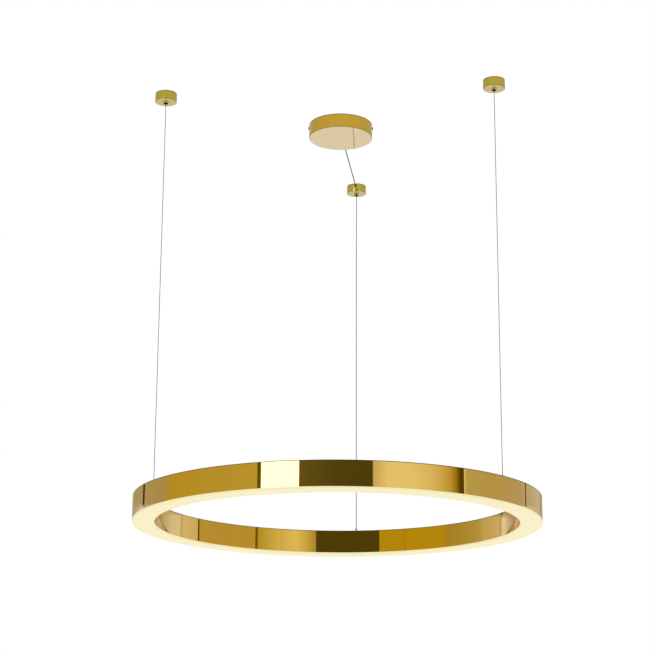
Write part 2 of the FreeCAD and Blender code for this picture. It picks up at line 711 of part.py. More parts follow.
def cable_tail():
    """The cable inside the rear gripper, bent over above it to the splice."""
    x, y = line_place("rear")
    bend_low = LEAD_AXIS - TAIL_BEND_R
    slant = TAIL_BEND_R * math.sqrt(0.5)
    path = Part.Wire([
        Part.LineSegment(Vector(x, y, PIVOT_Z), Vector(x, y, bend_low)).toShape(),
        Part.Arc(Vector(x, y, bend_low),
                 Vector(x, y - TAIL_BEND_R + slant, bend_low + slant),
                 Vector(x, y - TAIL_BEND_R, LEAD_AXIS)).toShape(),
        Part.LineSegment(Vector(x, y - TAIL_BEND_R, LEAD_AXIS), Vector(x, y - SPLICE_PLACE, LEAD_AXIS)).toShape(),
    ])
    section = Part.Wire([Part.makeCircle(CABLE_R, Vector(x, y, PIVOT_Z), UP)])
    return path.makePipeShell([section], True, False)


def splice_sleeve():
    """The crimped sleeve in the rear cap that joins the cable to the ceiling lead."""
    x, y = line_place("rear")
    end = y - SPLICE_PLACE
    middle = SPLICE_LENGTH / 2
    way = Vector(0, -1, 0)
    sleeve = Part.makeCylinder(SPLICE_R, SPLICE_LENGTH, Vector(x, end, LEAD_AXIS), way)
    cable_bore = Part.makeCylinder(CABLE_R, middle, Vector(x, end, LEAD_AXIS), way)
    lead_bore = Part.makeCylinder(LEAD_R, middle, Vector(x, end - middle, LEAD_AXIS), way)
    return sleeve.cut(cable_bore).cut(lead_bore)


# ---------------------------------------------------------------- the ceiling canopy
def hung(solid):
    """A canopy piece, moved from the canopy's own axes to its place on the ceiling."""
    placed = turned_about(solid, CANOPY_TURN)
    placed.translate(Vector(CANOPY_X, CANOPY_Y, 0))
    return placed


def canopy_point(along, across, height):
    """A point given in the canopy's own axes, in the part's frame."""
    angle = math.radians(CANOPY_TURN)
    x = CANOPY_X + along * math.cos(angle) - across * math.sin(angle)
    y = CANOPY_Y + along * math.sin(angle) + across * math.cos(angle)
    return x, y, height


def lead_x():
    """The ceiling lead runs along Y, in line with the rear cap."""
    return line_place("rear")[0]


def canopy_rear_wall():
    """Where the lead leaves the canopy's wall."""
    return CANOPY_Y + math.sqrt(CANOPY_R ** 2 - (lead_x() - CANOPY_X) ** 2)


def canopy_cover():
    cup = post(CANOPY_R, -CANOPY_HEIGHT, 0)
    lower_rim = [edge for edge in cup.Edges if abs(edge.CenterOfMass.z + CANOPY_HEIGHT) < 0.001 and edge.Length > 1]
    cup = cup.makeFillet(CANOPY_EDGE, lower_rim)
    cup = cup.cut(post(CANOPY_BORE_R, -CANOPY_HEIGHT + CANOPY_SHEET, 1))
    hole_r = SIDE_SCREW_R + SIDE_HOLE_FIT
    start = Vector(-CANOPY_R - 1, 0, -SIDE_SCREW_DEPTH)
    cup = cup.cut(Part.makeCylinder(hole_r, 2 * CANOPY_R + 2, start, Vector(1, 0, 0)))
    cup = hung(cup)
    wall = canopy_rear_wall()
    return cup.cut(lead_passage(lead_x(), wall - CANOPY_SHEET - 1, wall + 1, LEAD_R + GROMMET_WALL, 1))


def bracket():
    """The stamped cross that is screwed to the ceiling: two ears bent down for the side screws, and two tabs."""
    bar = block(2 * EAR_FACE, BRACKET_WIDTH, -BRACKET_SHEET, 0)
    tabs = block(TAB_WIDTH, 2 * TAB_LENGTH, -BRACKET_SHEET, 0)
    ends = post(math.hypot(EAR_FACE, EAR_WIDTH / 2), -BRACKET_SHEET, 0)
    plate = bar.common(ends).fuse(tabs)
    for side in (-1, 1):
        middle = side * (EAR_FACE - BRACKET_SHEET / 2)
        ear = block(BRACKET_SHEET, EAR_WIDTH, -EAR_HEIGHT, 0, (middle, 0))
        plate = plate.fuse(ear)
    holes = []
    for side in (-1, 1):
        holes.append(post(FIXING_R, -BRACKET_SHEET - 1, 1, (side * BRACKET_HOLES / 2, 0)))
    holes.append(post(MAINS_HOLE_R, -BRACKET_SHEET - 1, 1, (0, -MAINS_HOLE_PLACE)))
    for place in bracket_screw_places():
        holes.append(post(SMALL_SCREW_R + SCREW_FIT, -BRACKET_SHEET - 1, 1, place))
    start = Vector(-CANOPY_R, 0, -SIDE_SCREW_DEPTH)
    holes.append(Part.makeCylinder(SIDE_SCREW_R + SCREW_FIT, 2 * CANOPY_R, start, Vector(1, 0, 0)))
    return hung(plate.cut(Part.makeCompound(holes)).removeSplitter())


def driver_screw_places():
    return [(side * (DRIVER_LENGTH / 2 - DRIVER_EAR / 2), 0) for side in (-1, 1)]


def clamp_screw_places():
    return [(side * (CLAMP_LENGTH / 2 - SMALL_HEAD_R), CLAMP_PLACE) for side in (-1, 1)]


def block_screw_place():
    return BLOCK_LENGTH / 2 - SMALL_HEAD_R, -BLOCK_PLACE


def bracket_screw_places():
    places = driver_screw_places() + clamp_screw_places()
    return places + [block_screw_place(), (0, EARTH_SCREW_PLACE)]


def side_screws():
    """The two visible screws that hold the canopy to the bracket's ears."""
    screws = []
    for side in (0, 180):
        screw = pan_screw(SIDE_SCREW_HEAD_R, SIDE_SCREW_HEAD, SIDE_SCREW_R, SIDE_SCREW_LENGTH, 0)
        screw.rotate(Vector(0, 0, 0), Vector(0, 1, 0), -90)
        screw.translate(Vector(CANOPY_R + SCREW_FIT, 0, -SIDE_SCREW_DEPTH))
        screws.append(hung(turned_about(screw, side)))
    return screws


def driver_case():
    """The LED driver's moulded case, with a fixing ear at each end and a ribbed underside."""
    body_length = DRIVER_LENGTH - 2 * DRIVER_EAR
    body = block(body_length, DRIVER_WIDTH, DRIVER_BOTTOM + DRIVER_LID, -BRACKET_SHEET)
    upright = [edge for edge in body.Edges if abs(edge.Vertexes[0].Z - edge.Vertexes[-1].Z) > 1]
    body = body.makeFillet(DRIVER_CORNER, upright)
    ears = block(DRIVER_LENGTH, DRIVER_WIDTH / 2, -BRACKET_SHEET - DRIVER_EAR_SHEET, -BRACKET_SHEET)
    case = body.fuse(ears).removeSplitter()
    for place in driver_screw_places():
        case = case.cut(post(SMALL_SCREW_R + SCREW_FIT, DRIVER_BOTTOM, 0, place))
    for end, across in ((1, 0), (-1, 0)):
        start = Vector(end * body_length / 2, across, driver_port_height())
        radius = INPUT_LEAD_R if end > 0 else LEAD_R
        case = case.cut(Part.makeCylinder(radius, DRIVER_EAR, start, Vector(-end, 0, 0)))
    return hung(case)


def driver_port_height():
    """The height of the driver's two lead entries, below its fixing ears."""
    return -BRACKET_SHEET - DRIVER_HEIGHT * 0.6


def driver_lid():
    """The lid that closes the driver's underside, with vent ribs."""
    body_length = DRIVER_LENGTH - 2 * DRIVER_EAR
    lid = block(body_length, DRIVER_WIDTH, DRIVER_BOTTOM, DRIVER_BOTTOM + DRIVER_LID)
    upright = [edge for edge in lid.Edges if abs(edge.Vertexes[0].Z - edge.Vertexes[-1].Z) > 1]
    lid = lid.makeFillet(DRIVER_CORNER, upright)
    for number in range(LID_GROOVE_COUNT):
        place = (body_length / (LID_GROOVE_COUNT + 1) * (number + 1) - body_length / 2, 0)
        lid = lid.cut(block(1.5, DRIVER_WIDTH * 0.6, DRIVER_BOTTOM - 1, DRIVER_BOTTOM + DRIVER_LID / 2, place))
    return hung(lid)


def driver_screws():
    seat = -BRACKET_SHEET - DRIVER_EAR_SHEET
    return [hung(pan_screw(SMALL_HEAD_R, SMALL_HEAD, SMALL_SCREW_R, DRIVER_EAR_SHEET + BRACKET_SHEET, seat, place))
            for place in driver_screw_places()]


def pole_places():
    spacing = (BLOCK_LENGTH - 2 * SMALL_HEAD_R) / BLOCK_POLE_COUNT
    start = -BLOCK_LENGTH / 2 + spacing / 2
    return [(start + spacing * number, -BLOCK_PLACE) for number in range(BLOCK_POLE_COUNT)]


def terminal_block():
    """The mains terminal block: one bore and one screw well per pole, and a fixing ear."""
    body = block(BLOCK_LENGTH - 2 * SMALL_HEAD_R, BLOCK_WIDTH, -BRACKET_SHEET - BLOCK_HEIGHT, -BRACKET_SHEET,
                 (-SMALL_HEAD_R, -BLOCK_PLACE))
    ear = block(BLOCK_LENGTH, BLOCK_WIDTH * 0.6, -BRACKET_SHEET - DRIVER_EAR_SHEET, -BRACKET_SHEET, (0, -BLOCK_PLACE))
    body = body.fuse(ear).removeSplitter()
    hole = block_screw_place()
    body = body.cut(post(SMALL_SCREW_R + SCREW_FIT, -BRACKET_SHEET - BLOCK_HEIGHT, 0, hole))
    for x, y in pole_places():
        start = Vector(x, y - BLOCK_WIDTH / 2 - 1, -BRACKET_SHEET - BLOCK_HEIGHT / 2)
        body = body.cut(Part.makeCylinder(POLE_R, BLOCK_WIDTH + 2, start, Vector(0, 1, 0)))
        body = body.cut(post(POLE_R, -BRACKET_SHEET - BLOCK_HEIGHT - 1, start.z, (x, y)))
    return hung(body)


def block_screws():
    """The block's fixing screw and its three pole screws."""
    seat = -BRACKET_SHEET - DRIVER_EAR_SHEET
    fixing = pan_screw(SMALL_HEAD_R, SMALL_HEAD, SMALL_SCREW_R, DRIVER_EAR_SHEET + BRACKET_SHEET, seat,
                       block_screw_place())
    made = [hung(fixing)]
    low = -BRACKET_SHEET - BLOCK_HEIGHT + 0.5
    for place in pole_places():
        made.append(hung(post(POLE_R - SCREW_FIT, low, -BRACKET_SHEET - BLOCK_HEIGHT / 2 - POLE_R / 2, place)))
    return made


def earth_screw():
    """The earth screw on the bracket's rear tab."""
    place = (0, EARTH_SCREW_PLACE)
    return hung(pan_screw(SMALL_HEAD_R, SMALL_HEAD, SMALL_SCREW_R, BRACKET_SHEET, -BRACKET_SHEET, place))


def cord_clamp():
    """The saddle that grips the ceiling lead against the rear tab."""
    top = -BRACKET_SHEET
    saddle = block(CLAMP_LENGTH, CLAMP_WIDTH, top - CLAMP_HEIGHT, top, (0, CLAMP_PLACE))
    for place in clamp_screw_places():
        saddle = saddle.cut(post(SMALL_SCREW_R + SCREW_FIT, top - CLAMP_HEIGHT - 1, top + 1, place))
        relief = block(2 * SMALL_HEAD_R + 1, CLAMP_WIDTH + 2, top - CLAMP_HEIGHT - 1, top - CLAMP_HEIGHT / 2, place)
        saddle = saddle.cut(relief)
    saddle = hung(saddle)
    passage = lead_passage(lead_x(), CANOPY_Y, canopy_rear_wall(), LEAD_R + SCREW_FIT, top + 1)
    return saddle.cut(passage)


def clamp_screws():
    seat = -BRACKET_SHEET - CLAMP_HEIGHT / 2
    return [hung(pan_screw(SMALL_HEAD_R, SMALL_HEAD, SMALL_SCREW_R, CLAMP_HEIGHT / 2 + BRACKET_SHEET, seat, place))
            for place in clamp_screw_places()]


def ceiling_lead():
    """From the driver's output, through the clamp and the canopy's grommet, across the ceiling to the splice."""
    body_half = DRIVER_LENGTH / 2 - DRIVER_EAR
    port = driver_port_height()
    x = lead_x()
    rear_y = line_place("rear")[1]
    points = [
        canopy_point(-body_half, 0, port),
        canopy_point(-body_half - 12, 0, port),
        canopy_point(-body_half - 14, 13, port + 2),
        canopy_point(-body_half - 3, 23, port + 5),
        canopy_point(-22, 19, LEAD_AXIS - 2),
        canopy_point(-6, 21, LEAD_AXIS),
        (x, canopy_point(0, 31, 0)[1], LEAD_AXIS),
        (x, rear_y - SPLICE_PLACE - SPLICE_LENGTH / 2, LEAD_AXIS),
    ]
    return tube_along(points, LEAD_R, "ceiling_lead")


def input_lead():
    """The sheathed mains lead from the terminal block to the driver's input."""
    body_half = DRIVER_LENGTH / 2 - DRIVER_EAR
    port = driver_port_height()
    face = -BLOCK_PLACE + BLOCK_WIDTH / 2
    points = [
        canopy_point(-SMALL_HEAD_R, face, -BRACKET_SHEET - BLOCK_HEIGHT / 2),
        canopy_point(-SMALL_HEAD_R, face + 7, -BRACKET_SHEET - BLOCK_HEIGHT / 2),
        canopy_point(12, face + 8, port - 1),
        canopy_point(30, face + 4, port - 1),
        canopy_point(body_half + 14, face + 10, port),
        canopy_point(body_half + 14, 0, port),
        canopy_point(body_half, 0, port),
    ]
    return tube_along(points, INPUT_LEAD_R, "driver_input_lead")


# ---------------------------------------------------------------- wiring in the ring
def terminal_radius():
    """The terminal sits between the channel's inner flange and the boards."""
    return CHANNEL_INNER_R + CHANNEL_WALL + 1 + TERMINAL_WIDTH / 2


def terminal_point(along, height):
    """A point on the terminal's long axis."""
    reach = math.hypot(terminal_radius(), along)
    turn = math.degrees(math.atan2(along, terminal_radius()))
    x, y = polar(reach, LINE_ANGLES["rear"] + TERMINAL_ANGLE + turn)
    return x, y, height


def ring_terminal():
    """The plug-in terminal on the channel's web, beside the rear hanger, with two wire entries."""
    body = block(TERMINAL_WIDTH, TERMINAL_LENGTH, WEB_UNDERSIDE - TERMINAL_HEIGHT, WEB_UNDERSIDE,
                 (terminal_radius(), 0))
    level = WEB_UNDERSIDE - TERMINAL_HEIGHT / 2
    start = Vector(terminal_radius(), -TERMINAL_LENGTH / 2, level)
    body = body.cut(Part.makeCylinder(RING_LEAD_R, TERMINAL_LENGTH / 2, start, Vector(0, 1, 0)))
    press = block(TERMINAL_WIDTH / 2, TERMINAL_WIDTH / 4, WEB_UNDERSIDE - TERMINAL_HEIGHT - 1,
                  level - RING_LEAD_R - 1, (terminal_radius(), 0))
    return turned_about(body.cut(press), LINE_ANGLES["rear"] + TERMINAL_ANGLE)


def ring_lead():
    """The cable's cores, sleeved, from under the rear ferrule to the ring's terminal."""
    x, y = line_place("rear")
    start = BALL_Z - ball_radius("rear") - LEAD_FIT
    level = WEB_UNDERSIDE - TERMINAL_HEIGHT / 2
    points = [
        (x, y, start),
        (x, y, start - 9),
        (x - 6, y - 3, start - 10),
        terminal_point(-TERMINAL_LENGTH / 2 - 6, level),
        terminal_point(-TERMINAL_LENGTH / 2, level),
    ]
    return tube_along(points, RING_LEAD_R, "ring_lead")


def save_all():
    os.makedirs("parts", exist_ok=True)
    save("ring_outer_band", [band(RING_OUTER_R, RING_OUTER_R - BAND_SHEET)])
    save("ring_inner_band", [band(RING_INNER_R, RING_INNER_R + BAND_SHEET)])
    save("ring_top_plate", [top_plate()])
    save("ring_carrier_channel", [carrier_channel()])
    save("ring_diffuser", [diffuser()])
    save("led_boards", [led_board(middle) for middle in board_middles()])
    save("led_chips", led_chips())
    save("board_connectors", board_connectors())
    save("board_screws", board_screws())
    save("channel_studs", channel_studs())
    save("channel_nuts", channel_nuts())
    save("hanger_sockets", [hanger_socket(name) for name in LINE_ANGLES])
    save("hanger_nuts", [hanger_nut(name) for name in LINE_ANGLES])
    for name in LINE_ANGLES:
        line = "rear_suspension_cable" if name == "rear" else name + "_suspension_wire"
        save(line, [suspension_line(name)])
        save(name + "_ferrule", [ferrule(name)])
        save(name + "_cap_base", [cap_base(name)])
        save(name + "_cap_cover", [cap_cover(name)])
        save(name + "_gripper_plunger", [plunger(name)])
        save(name + "_gripper_balls", grip_balls(name))
        save(name + "_gripper_spring", [plunger_spring(name)])
    save("gripper_bodies", [gripper_body(name) for name in LINE_ANGLES])
    save("gripper_nuts", [gripper_nut(name) for name in LINE_ANGLES])
    save("wire_tails", [wire_tail("left"), wire_tail("right")])
    save("cable_tail", [cable_tail()])
    save("cable_splice", [splice_sleeve()])
    save("rear_cap_grommet", [grommet(lead_x(), line_place("rear")[1] - CAP_R, CAP_SHEET, cap_cover("rear"))])
    save("canopy_cover", [canopy_cover()])
    save("canopy_bracket", [bracket()])
    save("canopy_side_screws", side_screws())
    save("canopy_grommet", [grommet(lead_x(), canopy_rear_wall() - CANOPY_SHEET, CANOPY_SHEET, canopy_cover())])
    save("driver_case", [driver_case()])
    save("driver_lid", [driver_lid()])
    save("driver_screws", driver_screws())
    save("mains_terminal_block", [terminal_block()])
    save("terminal_screws", block_screws())
    save("earth_screw", [earth_screw()])
    save("cord_clamp", [cord_clamp()])
    save("clamp_screws", clamp_screws())
    save("ceiling_lead", [ceiling_lead()])
    save("driver_input_lead", [input_lead()])
    save("ring_terminal", [ring_terminal()])
    save("ring_lead", [ring_lead()])


save_all()
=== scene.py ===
# A gold LED ring chandelier, hung level on two steel wires and one power cable from three ceiling caps,
# with a round ceiling canopy. Metres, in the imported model's own frame: the ceiling is z = 0, the rear line
# is on +Y.
import math

import bmesh
import bpy
from mathutils import Matrix, Vector


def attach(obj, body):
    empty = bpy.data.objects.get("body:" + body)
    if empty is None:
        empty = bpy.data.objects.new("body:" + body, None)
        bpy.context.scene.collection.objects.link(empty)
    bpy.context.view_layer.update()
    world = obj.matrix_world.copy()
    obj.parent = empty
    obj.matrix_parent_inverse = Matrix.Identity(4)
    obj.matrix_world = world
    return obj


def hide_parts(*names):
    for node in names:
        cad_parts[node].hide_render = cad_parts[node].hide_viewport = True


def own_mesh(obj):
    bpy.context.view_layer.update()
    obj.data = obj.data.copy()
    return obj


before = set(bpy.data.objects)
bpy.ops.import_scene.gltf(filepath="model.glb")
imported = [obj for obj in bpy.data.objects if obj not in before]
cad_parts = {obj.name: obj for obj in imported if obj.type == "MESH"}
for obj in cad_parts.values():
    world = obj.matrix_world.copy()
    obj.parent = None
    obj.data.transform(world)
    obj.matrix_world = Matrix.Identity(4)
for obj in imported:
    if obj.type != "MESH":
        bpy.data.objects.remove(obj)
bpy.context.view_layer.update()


# ---- The room: plain white studio light from a big soft lamp at each side, over a pale matt floor. The
# white around the fixture is the world itself, for the camera and for whatever shines or lets light
# through.
def linear(code):
    """A colour written as an sRGB hex code, as the linear values that Blender works in."""
    made = []
    for start in (1, 3, 5):
        value = int(code[start:start + 2], 16) / 255
        made.append(value / 12.92 if value <= 0.04045 else ((value + 0.055) / 1.055) ** 2.4)
    return (*made, 1.0)


def add(tree, kind, values=None, **settings):
    """One node with its settings. A value is a number, a colour, or the output that feeds the input."""
    node = tree.nodes.new(kind)
    for name, value in settings.items():
        setattr(node, name, value)
    for key, value in (values or {}).items():
        if isinstance(value, bpy.types.NodeSocket):
            tree.links.new(value, node.inputs[key])
        else:
            node.inputs[key].default_value = value
    return node


def start_material(name):
    """An empty material and its tree."""
    material = bpy.data.materials.new(name)
    material.use_nodes = True
    material.node_tree.nodes.clear()
    return material, material.node_tree


def grain_on(tree, scale, detail):
    """Noise on the object's own coordinates, as a share from 0 to 1."""
    where = add(tree, "ShaderNodeTexCoord")
    noise = add(tree, "ShaderNodeTexNoise",
                {"Vector": where.outputs["Object"], "Scale": scale, "Detail": detail})
    return noise.outputs[0]


def blend(tree, share, start, end):
    """A colour between two, given as hex codes."""
    mix = add(tree, "ShaderNodeMix", {0: share, 6: linear(start), 7: linear(end)}, data_type="RGBA")
    return mix.outputs[2]


def spread(tree, share, start, end):
    """A number between two."""
    ramp = add(tree, "ShaderNodeMapRange", {"Value": share, "To Min": start, "To Max": end})
    return ramp.outputs[0]


def bumps(tree, share, strength, distance):
    """A surface that rises and falls with the share."""
    bump = add(tree, "ShaderNodeBump", {"Height": share, "Strength": strength, "Distance": distance})
    return bump.outputs[0]


def surface(tree, values):
    """The surface with these values, which ends a material's tree."""
    skin = add(tree, "ShaderNodeBsdfPrincipled", values)
    add(tree, "ShaderNodeOutputMaterial", {"Surface": skin.outputs[0]})


def put(name, data, material=None):
    """An object at the origin, linked to the scene, wearing the material."""
    thing = bpy.data.objects.new(name, data)
    bpy.context.scene.collection.objects.link(thing)
    if material is not None:
        data.materials.clear()
        data.materials.append(material)
    return thing


scene = bpy.context.scene
scene.view_settings.view_transform = "Standard"
world = bpy.data.worlds.new("white studio")
scene.world = world
world.use_nodes = True
sky = world.node_tree
sky.nodes.clear()
ray = add(sky, "ShaderNodeLightPath")
seen = add(sky, "ShaderNodeMath", {0: ray.outputs["Is Camera Ray"], 1: ray.outputs["Is Glossy Ray"]},
           operation="MAXIMUM")
seen = add(sky, "ShaderNodeMath", {0: seen.outputs[0], 1: ray.outputs["Is Transmission Ray"]},
           operation="MAXIMUM")
dim = add(sky, "ShaderNodeBackground", {"Color": linear("#ffffff"), "Strength": 0.86})
white = add(sky, "ShaderNodeBackground", {"Color": linear("#ffffff"), "Strength": 1.0})
both = add(sky, "ShaderNodeMixShader", {0: seen.outputs[0], 1: dim.outputs[0], 2: white.outputs[0]})
add(sky, "ShaderNodeOutputWorld", {"Surface": both.outputs[0]})

paint, tree = start_material("matt pale floor paint")
mottle = grain_on(tree, 1.5, 4.0)
shade = blend(tree, mottle, "#f4f3f0", "#fbfaf8")
surface(tree, {"Base Color": shade, "Roughness": 0.85})
FLOOR_LEVEL = -4.6
FLOOR_HALF = 26.0
slab = bpy.data.meshes.new("floor")
slab.from_pydata([(-FLOOR_HALF, -FLOOR_HALF, FLOOR_LEVEL), (FLOOR_HALF, -FLOOR_HALF, FLOOR_LEVEL),
                  (FLOOR_HALF, FLOOR_HALF, FLOOR_LEVEL), (-FLOOR_HALF, FLOOR_HALF, FLOOR_LEVEL)],
                 [], [(0, 1, 2, 3)])
put("floor", slab, paint)

for name, place, power, size in (("soft lamp left", (-3.2, -3.4, 2.6), 120.0, 3.0),
                                 ("soft lamp right", (3.4, -2.4, 1.8), 70.0, 2.5),
                                 ("soft lamp behind", (0.6, 4.2, 2.2), 60.0, 3.0)):
    lamp = bpy.data.lights.new(name, "AREA")
    lamp.energy = power
    lamp.size = size
    holder = put(name, lamp)
    holder.location = place
    holder.rotation_euler = (Vector((0, 0, -0.5)) - Vector(place)).to_track_quat("-Z", "Y").to_euler()
    holder.visible_glossy = False


# ---- The studio surround, which only polished metal sees: a tall drum 20 m out, with soft white panels,
# warm walls and dark gaps between them. Its lower level is what the ring's inside mirrors, its middle level
# the ring's outside, its upper one the pieces at the ceiling. Behind the fixture, where the ring's two
# bands mirror the same heights, the lower level runs softly into the middle one. Each stop is a compass
# angle from -Y towards +X, a colour and a strength.
DRUM_R = 20.0
DRUM_START = -200             # degrees; the drum ends where it started, a full turn on
DRUM_STEP = 2
DRUM_TOP = 40.0
MEETING = 2.717               # where the lower level meets the middle one
UPPER_START = 5.0
BEHIND_LEFT = 113             # past these angles the ring's two bands mirror the same heights
BEHIND_RIGHT = 127.5
LOW_SLOPE = 0.0028            # how fast the two levels part there, in metres a degree
HIGH_SLOPE = 0.0012
SEAM = 0.001

# what the ring's inside mirrors
lower_stops = [
    (-200, "#b8b09c", 1.0), (-150, "#bab4a0", 1.0), (-139, "#c8ccd8", 1.25),
    (-132, "#cdd6ff", 1.6), (-127.6, "#cdd6ff", 1.5),
    (-127.4, "#c3b0a0", 1.0), (-126.4, "#c3b0a0", 1.0), (-126.2, "#eeeef2", 1.0), (-118, "#e0dfdc", 1.0),
    (-106, "#dadad8", 1.0), (-100, "#c9c6a1", 1.0), (-71, "#beb162", 1.0), (-69, "#cbbc34", 1.0),
    (-22.2, "#cbbc2d", 1.0), (-22, "#58572a", 1.0), (20.2, "#58572a", 1.0), (20.4, "#beb47c", 1.0),
    (24, "#d6d396", 1.0), (33, "#fbfdef", 1.0), (45.6, "#eeeec0", 1.0), (58, "#cfcb80", 1.0),
    (60.7, "#cac067", 1.0), (60.9, "#846e0a", 1.0), (62.5, "#846e09", 1.0), (62.7, "#cec484", 1.0),
    (108.6, "#cdc58c", 1.0), (109.6, "#a89a58", 1.0), (109.8, "#5f5228", 1.0), (110.8, "#5f5228", 1.0),
    (111, "#e4e9fc", 1.0), (128.5, "#e0e5ff", 1.15), (130, "#dcdcd8", 1.0), (131, "#c9d2ff", 1.6),
    (141, "#ccd4f4", 1.45), (156, "#ced0c4", 1.0), (160, "#c8cab8", 1.0)]
# what the ring's outside mirrors
middle_stops = [
    (-200, "#b6ae8c", 1.0), (-150, "#b2aa88", 1.0), (-130.4, "#bcbaa8", 1.0), (-130, "#3f3416", 1.0),
    (-127.5, "#3f3416", 1.0), (-127, "#c0bcab", 1.0), (-101, "#bfbdb7", 1.0), (-99.5, "#ccc161", 1.0),
    (-66, "#cfc77a", 1.0), (-37.4, "#d2cd8e", 1.0), (-37, "#6d6720", 1.0), (-35.1, "#6d6720", 1.0),
    (-34.9, "#a8baff", 7.2), (-14.2, "#a8baff", 7.2), (-14, "#706f4c", 1.0), (5, "#5c5c35", 1.0),
    (25, "#57572f", 1.0), (25.3, "#dfe3d6", 1.0), (33, "#e6eeff", 1.3), (47, "#e6eeff", 1.28),
    (57, "#f6fbff", 1.0), (63.6, "#e8e5d0", 1.0), (69, "#d6cd90", 1.0), (73, "#b19f48", 1.0),
    (75.2, "#786a1e", 1.0), (76.2, "#5f5009", 1.0), (78.4, "#5f5009", 1.0), (78.6, "#dbe6ff", 1.3),
    (80.4, "#cfd3c9", 1.0), (100, "#cccac0", 1.0), (130, "#c8cbde", 1.0), (132, "#dfe4f2", 1.0),
    (132.2, "#7c726c", 1.0), (134.2, "#7c726c", 1.0), (134.4, "#dfe8fa", 1.0), (136, "#d0d4d4", 1.0),
    (160, "#d0d2ca", 1.0)]
# what the canopy and the caps mirror
upper_stops = [
    (-200, "#c6cebd", 1.0), (-150, "#c6cebd", 1.0), (-107, "#c4ccbf", 1.0), (-87, "#d2cea4", 1.0),
    (0, "#d9da9f", 1.0), (74, "#d6d4a2", 1.0), (114, "#ccceb4", 1.0), (160, "#c6cbbd", 1.0)]


def light_at(stops, angle):
    """A level's colour at an angle, run smoothly from each stop to the next."""
    for (start, code, power), (end, code_2, power_2) in zip(stops, stops[1:]):
        if angle <= end:
            share = (angle - start) / (end - start)
            return (*(a * power + (b * power_2 - a * power) * share
                      for a, b in zip(linear(code)[:3], linear(code_2)[:3])), 1.0)


def rows_at(angle):
    """The heights at an angle where the colour is given, from the floor up, each with its level's stops."""
    turn = (angle + 180) % 360 - 180
    behind = max(0.0, -turn - BEHIND_LEFT if turn < 0 else turn - BEHIND_RIGHT)
    return ((FLOOR_LEVEL, lower_stops), (MEETING - SEAM - LOW_SLOPE * behind, lower_stops),
            (MEETING + HIGH_SLOPE * behind, middle_stops), (UPPER_START, middle_stops),
            (UPPER_START + SEAM, upper_stops), (DRUM_TOP, upper_stops))


angles = {stop[0] for stops in (lower_stops, middle_stops, upper_stops) for stop in stops}
angles = sorted(angles.union(range(DRUM_START, DRUM_START + 360, DRUM_STEP)))
shell = bmesh.new()
glow = shell.loops.layers.float_color.new("glow")
columns = []
for angle in angles:
    turn = math.radians(angle)
    columns.append([(shell.verts.new((DRUM_R * math.sin(turn), -DRUM_R * math.cos(turn), height)),
                     light_at(stops, angle)) for height, stops in rows_at(angle)])
for column, after in zip(columns, columns[1:]):
    for number in range(len(column) - 1):
        corners = (column[number], after[number], after[number + 1], column[number + 1])
        face = shell.faces.new([corner[0] for corner in corners])
        for loop, corner in zip(face.loops, corners):
            loop[glow] = corner[1]
wall_mesh = bpy.data.meshes.new("studio surround")
shell.to_mesh(wall_mesh)
shell.free()
drum_light, tree = start_material("lit studio surround")
tint = add(tree, "ShaderNodeAttribute", attribute_name="glow")
lit = add(tree, "ShaderNodeEmission", {"Color": tint.outputs["Color"], "Strength": 1.0})
add(tree, "ShaderNodeOutputMaterial", {"Surface": lit.outputs[0]})
wall = put("studio surround", wall_mesh, drum_light)
wall.visible_camera = False
wall.visible_diffuse = False
wall.visible_transmission = False
wall.visible_shadow = False
wall.visible_volume_scatter = False

# ---- The viewpoint: a long lens, three and a half metres off and well below the ring, looking up at the
# fixture.
LENS_MM = 98.62
VIEW_PLACE = (0.3804, -3.4602, -1.43375)
VIEW_TURN = 6.636             # degrees, to the left of +Y
VIEW_RISE = 15.91
VIEW_ROLL = 0.314
eye = bpy.data.cameras.new("viewpoint")
eye.lens = LENS_MM
eye.sensor_width = 36.0
camera = put("viewpoint", eye)
aim = Matrix.Rotation(math.radians(VIEW_TURN), 4, "Z")
aim = aim @ Matrix.Rotation(math.radians(90 + VIEW_RISE), 4, "X")
aim = aim @ Matrix.Rotation(math.radians(VIEW_ROLL), 4, "Z")
camera.location = VIEW_PLACE
camera.rotation_euler = aim.to_euler()
scene.camera = camera

# ---- The suspension lines: two 1.2 mm steel wires, six strands laid round a core, and the 1.5 mm rear
# cable, which carries the current in twelve finer tinned strands. Each runs dead straight, pulled tight by
# the ring, from its gripper's mouth to the ball on its end.
MIDDLE_R = 0.37825
LEAN_POINT = -0.0215
BALL_CENTRE = -0.7996
LINE_TURNS = {"rear": 90.0, "left": 210.0, "right": 330.0}
LAY_RADII = 18                # one turn of the strands, in radii of the line
STEP_RADII = 2.4
CORE_SINK = 1.6               # strand radii from the line's surface in to the core's


def line_place(name):
    """Where a line hangs, in plan."""
    turn = math.radians(LINE_TURNS[name])
    return MIDDLE_R * math.cos(turn), MIDDLE_R * math.sin(turn)


def route(name, points):
    """A smooth open curve with the points as its controls."""
    curve = bpy.data.curves.new(name, "CURVE")
    curve.dimensions = "3D"
    spline = curve.splines.new("NURBS")
    spline.points.add(len(points) - 1)
    for point, place in zip(spline.points, points):
        point.co = (*place, 1.0)
    spline.order_u = 3
    spline.use_endpoint_u = True
    spline.resolution_u = 24
    return curve


def route_points(curve):
    """The points that the curve runs through."""
    probe = bpy.data.objects.new("probe", curve)
    bpy.context.scene.collection.objects.link(probe)
    bpy.context.view_layer.update()
    mesh = bpy.data.meshes.new_from_object(probe.evaluated_get(bpy.context.evaluated_depsgraph_get()))
    places = [v.co.copy() for v in mesh.vertices]
    bpy.data.objects.remove(probe)
    bpy.data.meshes.remove(mesh)
    return places


